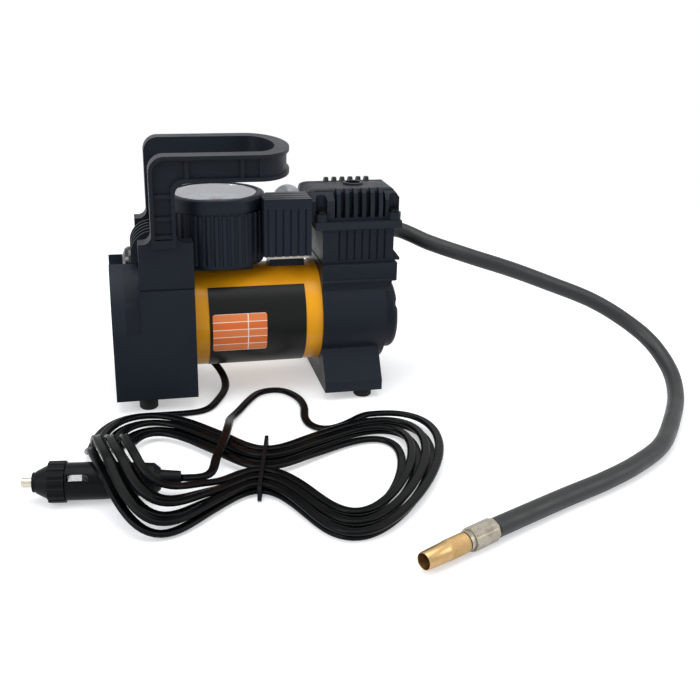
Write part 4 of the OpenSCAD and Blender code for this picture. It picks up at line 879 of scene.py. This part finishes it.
    def section(self) -> list[Pair]:
        """Draws the figure-of-eight outline of the twin cord.

        Returns:
            Its points in metres.
        """
        r = self.thick / 2
        c = self.width / 2 - r
        waist = self.waist_share * r
        angles = [radians(a) for a in (-90, -50, 0, 50, 90)]
        right = [(c + r * cos(a), r * sin(a)) for a in angles]
        left = [(-x, -y) for x, y in right]
        return [(x * MM, y * MM) for x, y in [*right, (0.0, waist), *left, (0.0, -waist)]]

    def build(self) -> None:
        """Makes the cord, dresses the plug and logs the cord's length."""
        path = self.route()
        obj = tube("power_cord", path, self.section(), Vector((1, 0, 0)), -self.plug_dir)
        paint(obj, Palette.CORD.material)
        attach(obj, "machine")
        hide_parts("cord_lead", "cord_hank", "cord_tail")
        looks = {
            Palette.PLUG_SHELL: "plug_body plug_nut cord_tie",
            Palette.NICKEL: "plug_tip",
            Palette.STEEL: "plug_contact_front plug_contact_back",
        }
        self.dress_nodes(looks)
        self.soften(self.nut_edge, "plug_nut")
        LOG.info("power cord, %.2f m", length_of(path))


@dataclass
class TireChuck:
    """Brass chuck: knurled grip, plain tapered nose and a threaded mouth. Sizes in millimetres."""

    at: Triple = (81.4, -214.5, 6.3)
    yaw_deg: float = 206.9
    start: float = 18.3
    length: float = 26.0
    grip_len: float = 12.5
    grip_r: float = 4.92
    neck_r: float = 4.72
    nose_r: float = 4.32
    knurl_d: float = 0.3
    knurls: int = 28
    groove_half: float = 0.22
    chamfer: float = 0.35
    bore_r: float = 2.65
    bore_len: float = 11.0
    way_r: float = 1.55
    seat_r: float = 3.35
    seat_at: float = 12.1
    mouth_r: float = 3.85
    thread_len: float = 9.6
    thread_pitch: float = 0.8
    thread_d: float = 0.25
    thread_from: float = 0.5
    thread_rest: float = 0.6
    run_out: float = 0.3
    lip: float = 0.1
    sides: int = 168
    row: float = 0.24

    def outside(self) -> list[Triple]:
        """Draws the outline from the hose's end to the rim.

        Returns:
            Place along the axis, radius and share of the knurl for each point.
        """
        end = self.start + self.length
        grip_end = self.start + self.grip_len
        straight = self.grip_len - 2 * self.chamfer
        rows = round(straight / self.row)
        first = self.start + self.chamfer
        knurled = [(first + straight * i / rows, self.grip_r, 1.0) for i in range(rows + 1)]
        return [
            (self.start, self.grip_r - self.chamfer - self.knurl_d, 0.0),
            *knurled,
            (grip_end, self.neck_r, 0.0),
            (grip_end + self.lip, self.neck_r, 0.0),
            (end - self.chamfer, self.nose_r, 0.0),
            (end, self.nose_r - self.chamfer / 2, 0.0),
            (end, self.mouth_r + self.lip, 0.0),
        ]

    def inside(self) -> list[Triple]:
        """Draws the outline of the mouth and bore, back to the hose's end.

        Returns:
            The points, as outside() has them.
        """
        end = self.start + self.length
        bore_end = self.start + self.bore_len
        out = [(end - 2 * self.lip, self.mouth_r)]
        for i in range(int((self.thread_len - self.thread_rest) / self.thread_pitch)):
            x = end - self.thread_from - i * self.thread_pitch
            out += [(x, self.mouth_r), (x - self.thread_pitch / 2, self.mouth_r - self.thread_d)]
        out += [(end - self.thread_len, self.mouth_r), (end - self.thread_len - self.run_out, self.seat_r)]
        out += [(end - self.seat_at, self.seat_r), (end - self.seat_at, self.way_r)]
        out += [(bore_end, self.way_r), (bore_end, self.bore_r), (self.start, self.bore_r)]
        return [(x, r, 0.0) for x, r in out]

    def knurl(self, x: float, turn: float) -> float:
        """Depth of the crossed knurl.

        Args:
            x: Place along the axis.
            turn: Share of a turn about it.

        Returns:
            0 on its points and 1 in its grooves.
        """
        pitch = 2 * pi * self.grip_r / self.knurls
        a = (x / pitch + turn * self.knurls) % 1.0
        b = (x / pitch - turn * self.knurls) % 1.0
        near = min(abs(a - 0.5), abs(b - 0.5))
        return max(0.0, 1 - near / self.groove_half)

    def build(self) -> Object:
        """Makes the chuck.

        Returns:
            The piece, on the chuck's body.
        """
        along = flat_heading(self.yaw_deg)
        side = UP.cross(along)
        outer = self.outside()
        outline = outer + self.inside()
        n = self.sides
        verts = []
        for x, r, share in outline:
            for k in range(n):
                reach = r - share * self.knurl_d * self.knurl(x, k / n)
                t = 2 * pi * k / n
                across = side * (reach * cos(t)) + UP * (reach * sin(t))
                verts.append((Vector(self.at) + along * x + across) * MM)
        faces = []
        for i in range(len(outline)):
            j = (i + 1) % len(outline)
            faces += [(i * n + k, i * n + (k + 1) % n, j * n + (k + 1) % n, j * n + k) for k in range(n)]
        obj = new_mesh("tire_chuck", verts, faces, sharp=True)
        paint(obj, Palette.BRASS.material)
        obj.data.materials.append(Palette.BORE.material)
        for i, face in enumerate(obj.data.polygons):
            face.material_index = 1 if i // n >= len(outer) else 0
        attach(obj, "chuck")
        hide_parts("chuck_sleeve")
        return obj


@dataclass
class AirHose(SubAssembly):
    """Rubber hose from the outlet to the brass chuck."""

    outer_d: float = 10.0
    start: Triple = (87.0, 12.0, 95.0)
    knots: tuple[Triple, ...] = (
        (104, 9, 91), (114, 3, 87), (138, -8, 80), (164, -14, 72), (190, -15, 62), (220, -19, 50),
        (241, -27, 38), (254, -42, 27), (257, -64, 16), (249, -88, 9), (231, -116, 6.4),
        (208, -145, 5.5), (183, -164, 5.5), (158, -178, 5.5), (129, -191, 5.5),
    )
    ring_step: float = 2.5
    sides: int = 28
    chuck: TireChuck = field(default_factory=TireChuck)

    def route(self) -> list[Vector]:
        """Finds the centreline from the outlet to the ferrule.

        Returns:
            Its points in metres.
        """
        start, end = Vector(self.start), Vector(self.chuck.at)
        before_end = end - 14 * flat_heading(self.chuck.yaw_deg) - Vector((0, 0, 0.3))
        knots = [start, start + Vector((8, 0, -0.6)), *self.knots, before_end, end]
        return [p * MM for p in relaxed(resample(smooth_path(knots, 16), self.ring_step), 2)]

    def build(self) -> None:
        """Makes the hose and dresses its end."""
        path = self.route()
        r = self.outer_d / 2 * MM
        turns = [2 * pi * k / self.sides for k in range(self.sides)]
        ring = [(r * cos(t), r * sin(t)) for t in turns]
        obj = tube("air_hose", path, ring, Vector((1, 0, 0)), flat_heading(self.chuck.yaw_deg))
        paint(obj, Palette.HOSE.material)
        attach(obj, "machine")
        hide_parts("hose")
        self.chuck.build()
        self.dress_nodes({Palette.FERRULE: "hose_ferrule", Palette.RUBBER: "chuck_seal"})
        LOG.info("air hose, %.3f m", length_of(path))


# ---- machine
@dataclass
class Housing(SubAssembly):
    """Rear housing, cover, handle, lamp, feet and strain relief."""

    edge: float = 0.5

    def build(self) -> None:
        """Dresses the moulded shells and what is screwed to them."""
        looks = {
            Palette.HOUSING: "rear_housing rear_cover handle lamp_bezel",
            Palette.SCREW: "cover_screws handle_screws",
            Palette.SMOKED: "lamp_lens",
            Palette.LED: "lamp_led",
            Palette.RUBBER: "feet strain_relief",
        }
        self.dress_nodes(looks)
        self.soften(self.edge, looks[Palette.HOUSING])


@dataclass
class Motor(SubAssembly):
    """Motor can with its label, and what turns inside."""

    def build(self) -> None:
        """Dresses the can, the label and the inner pieces."""
        looks = {
            Palette.CAN: "motor_can",
            Palette.FILM: "label_plate",
            Palette.INNER: "motor_rear_bell cooling_fan",
            Palette.BRASS: "rear_bush",
            Palette.FERRITE: "brushes magnets",
            Palette.ALLOY: "front_plate",
            Palette.STEEL: "front_bearing motor_shaft",
            Palette.IRON: "armature_core",
            Palette.COPPER: "windings commutator",
        }
        self.dress_nodes(looks)


@dataclass
class Compressor(SubAssembly):
    """Crankcase, cylinder, head and the piston's train."""

    edge: float = 0.45
    rib_edge: float = 0.18

    def build(self) -> None:
        """Dresses the castings and the inner train."""
        looks = {
            Palette.CASTING: "crankcase crankcase_cover cylinder_block cylinder_head",
            Palette.DARK_SCREW: "crankcase_screws head_screws",
            Palette.ALLOY: "crank_disc connecting_rod cylinder_sleeve",
            Palette.STEEL: "rod_bearing valve_plate outlet_fitting",
            Palette.SEAL: "piston_seal",
            Palette.FIBRE: "head_gasket",
        }
        self.dress_nodes(looks)
        self.soften(self.edge, "crankcase crankcase_cover")
        self.soften(self.rib_edge, "cylinder_block cylinder_head")


@dataclass
class Gauge(SubAssembly):
    """Pressure gauge with a printed dial, and the round switch beside it."""

    x: float = -23.4
    ink_lift: float = 0.06
    scale_r: float = 21.5
    zero_deg: float = 225.0
    sweep_deg: float = 270.0
    steps: int = 50
    # Length and half width of the strokes at every tenth, every fifth and every other step
    major: Pair = (4.2, 0.5)
    middle: Pair = (2.9, 0.34)
    minor: Pair = (1.8, 0.2)
    figures: tuple[int, ...] = (0, 20, 40, 60, 80, 100)
    figure_h: float = 5.2
    figure_in: float = 7.6
    switch_edge: float = 0.25
    pad_x: Pair = (4.0, 30.0)
    pad_y: Pair = (8.0, 26.0)
    pad_z: Pair = (88.5, 89.95)
    pad_r: float = 2.0

    def pad(self, side: int) -> None:
        """Makes one nylon pad between the switch block and the can.

        Args:
            side: 1 behind the stem, -1 before it.
        """
        (x0, x1), (y0, y1), r = self.pad_x, self.pad_y, self.pad_r
        corners = ((x1 - r, y1 - r, 0), (x0 + r, y1 - r, 90), (x0 + r, y0 + r, 180), (x1 - r, y0 + r, 270))
        ring = []
        for cx, cy, first in corners:
            for k in range(5):
                a = radians(first + 22.5 * k)
                ring.append((cx + r * cos(a), side * (cy + r * sin(a))))
        ring = ring[::side]
        verts = [(x * MM, y * MM, z * MM) for z in self.pad_z for x, y in ring]
        n = len(ring)
        faces = [(k, (k + 1) % n, n + (k + 1) % n, n + k) for k in range(n)]
        faces += [tuple(reversed(range(n))), tuple(range(n, 2 * n))]
        obj = new_mesh(f"switch_pad_{'back' if side > 0 else 'front'}", verts, faces, sharp=True)
        paint(obj, Palette.PAD.material)
        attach(obj, "machine")

    @property
    def ink_z(self) -> float:
        """Height of the ink on the dial, in metres."""
        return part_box("gauge_dial")[1][2] + self.ink_lift * MM

    def strokes(self) -> Object:
        """Makes the printed scale as thin raised strokes.

        Returns:
            The strokes.
        """
        z = self.ink_z
        verts = []
        for i in range(self.steps + 1):
            a = radians(self.zero_deg - self.sweep_deg * i / self.steps)
            long, w = self.major if i % 10 == 0 else self.middle if i % 5 == 0 else self.minor
            c, s = cos(a), sin(a)
            r0, r1 = self.scale_r - long, self.scale_r
            for r, side in ((r0, -w), (r1, -w), (r1, w), (r0, w)):
                verts.append(((self.x + r * c - side * s) * MM, (r * s + side * c) * MM, z))
        faces = [(4 * i, 4 * i + 1, 4 * i + 2, 4 * i + 3) for i in range(self.steps + 1)]
        return new_mesh("dial_strokes", verts, faces, smooth=False)

    def numbers(self) -> list[Object]:
        """Makes the plain numbers of the scale.

        Returns:
            One piece for each number.
        """
        made = []
        r = self.scale_r - self.figure_in
        for i, value in enumerate(self.figures):
            a = radians(self.zero_deg - self.sweep_deg * i / (len(self.figures) - 1))
            curve = bpy.data.curves.new(f"dial_number_{value}", "FONT")
            curve.body = str(value)
            curve.size = self.figure_h * MM
            curve.align_x = "CENTER"
            curve.align_y = "CENTER"
            obj = link(bpy.data.objects.new(f"dial_number_{value}", curve))
            obj.location = ((self.x + r * cos(a)) * MM, r * sin(a) * MM, self.ink_z)
            made.append(obj)
        return made

    def build(self) -> None:
        """Dresses the gauge and switch and prints the dial."""
        looks = {
            Palette.GAUGE_SHELL: "gauge_housing gauge_bezel switch_housing",
            Palette.LENS: "gauge_lens",
            Palette.WHITE: "gauge_dial",
            Palette.NEEDLE: "gauge_needle",
            Palette.BRASS: "gauge_movement",
            Palette.INNER: "switch_body",
            Palette.RED: "switch_rocker",
            Palette.MILKY: "switch_cap",
        }
        self.dress_nodes(looks)
        self.soften(self.switch_edge, "switch_housing")
        for side in (-1, 1):
            self.pad(side)
        for obj in [self.strokes(), *self.numbers()]:
            paint(obj, Palette.INK.material)
            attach(obj, "machine")


# ---- studio
@dataclass
class Studio:
    """Camera, floor, backdrop light and lamps. Sizes in metres."""

    eye: Triple = (-0.0801031, -0.597654, 0.249708)
    yaw_deg: float = -13.38188
    pitch_deg: float = 20.70387
    roll_deg: float = 1.24791
    lens_mm: float = 51.5107
    sensor_mm: float = 36.0
    sky_tone: str = "f4f6fa"
    sky_strength: float = 0.45
    floor_half: float = 3.0
    floor_z: float = -0.0002
    floor_tone: str = "e2e3e5"
    floor_mottle: str = "dddedf"
    mottle_mm: float = 60.0
    floor_lift: float = 0.42
    shadow_reach: float = 0.45
    white_reach: float = 0.7

    def camera(self) -> None:
        """Sets the camera."""
        a, e, p = (radians(v) for v in (self.yaw_deg, self.pitch_deg, self.roll_deg))
        forward = Vector((-sin(a) * cos(e), cos(a) * cos(e), -sin(e)))
        level_right = Vector((cos(a), sin(a), 0))
        level_up = level_right.cross(forward)
        right = level_right * cos(p) + level_up * sin(p)
        up = -level_right * sin(p) + level_up * cos(p)
        data = bpy.data.cameras.new("camera")
        data.lens = self.lens_mm
        data.sensor_width = self.sensor_mm
        data.sensor_fit = "HORIZONTAL"
        data.clip_start = 0.01
        obj = link(bpy.data.objects.new("camera", data))
        obj.matrix_world = Matrix([*zip(right, up, -forward, self.eye), (0, 0, 0, 1)])
        bpy.context.scene.camera = obj

    def world(self) -> None:
        """Makes a surround that looks plain white and lights the object softly."""
        world = bpy.data.worlds.new("studio_surround")
        bpy.context.scene.world = world
        tree = empty_tree(world)
        rays = add_node(tree, "LightPath").outputs
        shiny = arith(tree, "MAXIMUM", rays["Is Glossy Ray"], rays["Is Transmission Ray"])
        seen = arith(tree, "MAXIMUM", rays["Is Camera Ray"], shiny)
        sky = add_node(tree, "Background", {"Color": linear(self.sky_tone), "Strength": self.sky_strength})
        backdrop = add_node(tree, "Background", {"Color": PURE_WHITE, "Strength": 1.0})
        mix = add_node(tree, "MixShader", {0: seen, 1: sky.outputs[0], 2: backdrop.outputs[0]})
        add_node(tree, "OutputWorld", {"Surface": mix.outputs[0]})

    def floor(self) -> None:
        """Makes a pale floor that keeps the shadow and turns plain white further out."""
        h, z = self.floor_half, self.floor_z
        corners = [(-h, -h, z), (h, -h, z), (h, h, z), (-h, h, z)]
        obj = new_mesh("studio_floor", corners, [(0, 1, 2, 3)], smooth=False)
        material = bpy.data.materials.new("floor_pale")
        tree = empty_tree(material)
        place = add_node(tree, "TexCoord").outputs["Object"]
        mottle = ranged(tree, grain(tree, place, self.mottle_mm, 2.0), 0.0, 1.0)
        tone = blend_colours(tree, mottle, linear(self.floor_tone), linear(self.floor_mottle))
        shade = add_node(tree, "BsdfDiffuse", {"Color": tone})
        rays = add_node(tree, "LightPath").outputs
        seen = arith(tree, "MAXIMUM", rays["Is Camera Ray"], rays["Is Glossy Ray"])
        lift = arith(tree, "MULTIPLY", seen, self.floor_lift)
        glow = add_node(tree, "Emission", {"Color": PURE_WHITE, "Strength": lift})
        near = add_node(tree, "AddShader", {0: shade.outputs[0], 1: glow.outputs[0]})
        far = add_node(tree, "Emission", {"Color": PURE_WHITE, "Strength": 1.0})
        reach = add_node(tree, "VectorMath", {0: place}, operation="LENGTH").outputs["Value"]
        away = ranged(tree, reach, 0.0, 1.0, self.shadow_reach, self.white_reach)
        both = add_node(tree, "MixShader", {0: away, 1: near.outputs[0], 2: far.outputs[0]})
        add_node(tree, "OutputMaterial", {"Surface": both.outputs[0]})
        paint(obj, material)

    def lamp(self, name: str, at: Triple, target: Triple, size: float, watts: float, tone: str) -> None:
        """Hangs one soft square lamp.

        Args:
            name: Name of the lamp.
            at: Its place.
            target: What it faces.
            size: Its width.
            watts: Its power.
            tone: Its colour.
        """
        data = bpy.data.lights.new(name, "AREA")
        data.size = size
        data.energy = watts
        data.color = linear(tone)[:3]
        obj = link(bpy.data.objects.new(name, data))
        obj.location = at
        obj.rotation_euler = (Vector(target) - Vector(at)).to_track_quat("-Z", "Y").to_euler()

    def build(self) -> None:
        """Builds the whole studio."""
        bpy.context.scene.view_settings.view_transform = "Standard"
        self.camera()
        self.world()
        self.floor()
        self.lamp("lamp_above", (0.0, -0.15, 1.25), (0.02, -0.05, 0.05), 1.1, 11.0, "ffffff")
        self.lamp("lamp_left", (-1.1, -0.7, 0.75), (0, 0, 0.06), 0.8, 10.5, "fbfbff")
        self.lamp("lamp_right", (1.1, -0.5, 0.7), (0.02, 0, 0.06), 0.7, 4.5, "ffffff")


def main() -> None:
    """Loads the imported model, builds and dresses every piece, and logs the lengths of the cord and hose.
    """
    logging.basicConfig(level=logging.INFO, format="%(name)s: %(message)s")
    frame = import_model()
    Studio().build()
    for part in (PowerCord, AirHose, Housing, Motor, Compressor, Gauge):
        part(frame["nodes"]).build()
        LOG.info("%s is done", part.__name__)


if __name__ == "__main__":
    main()
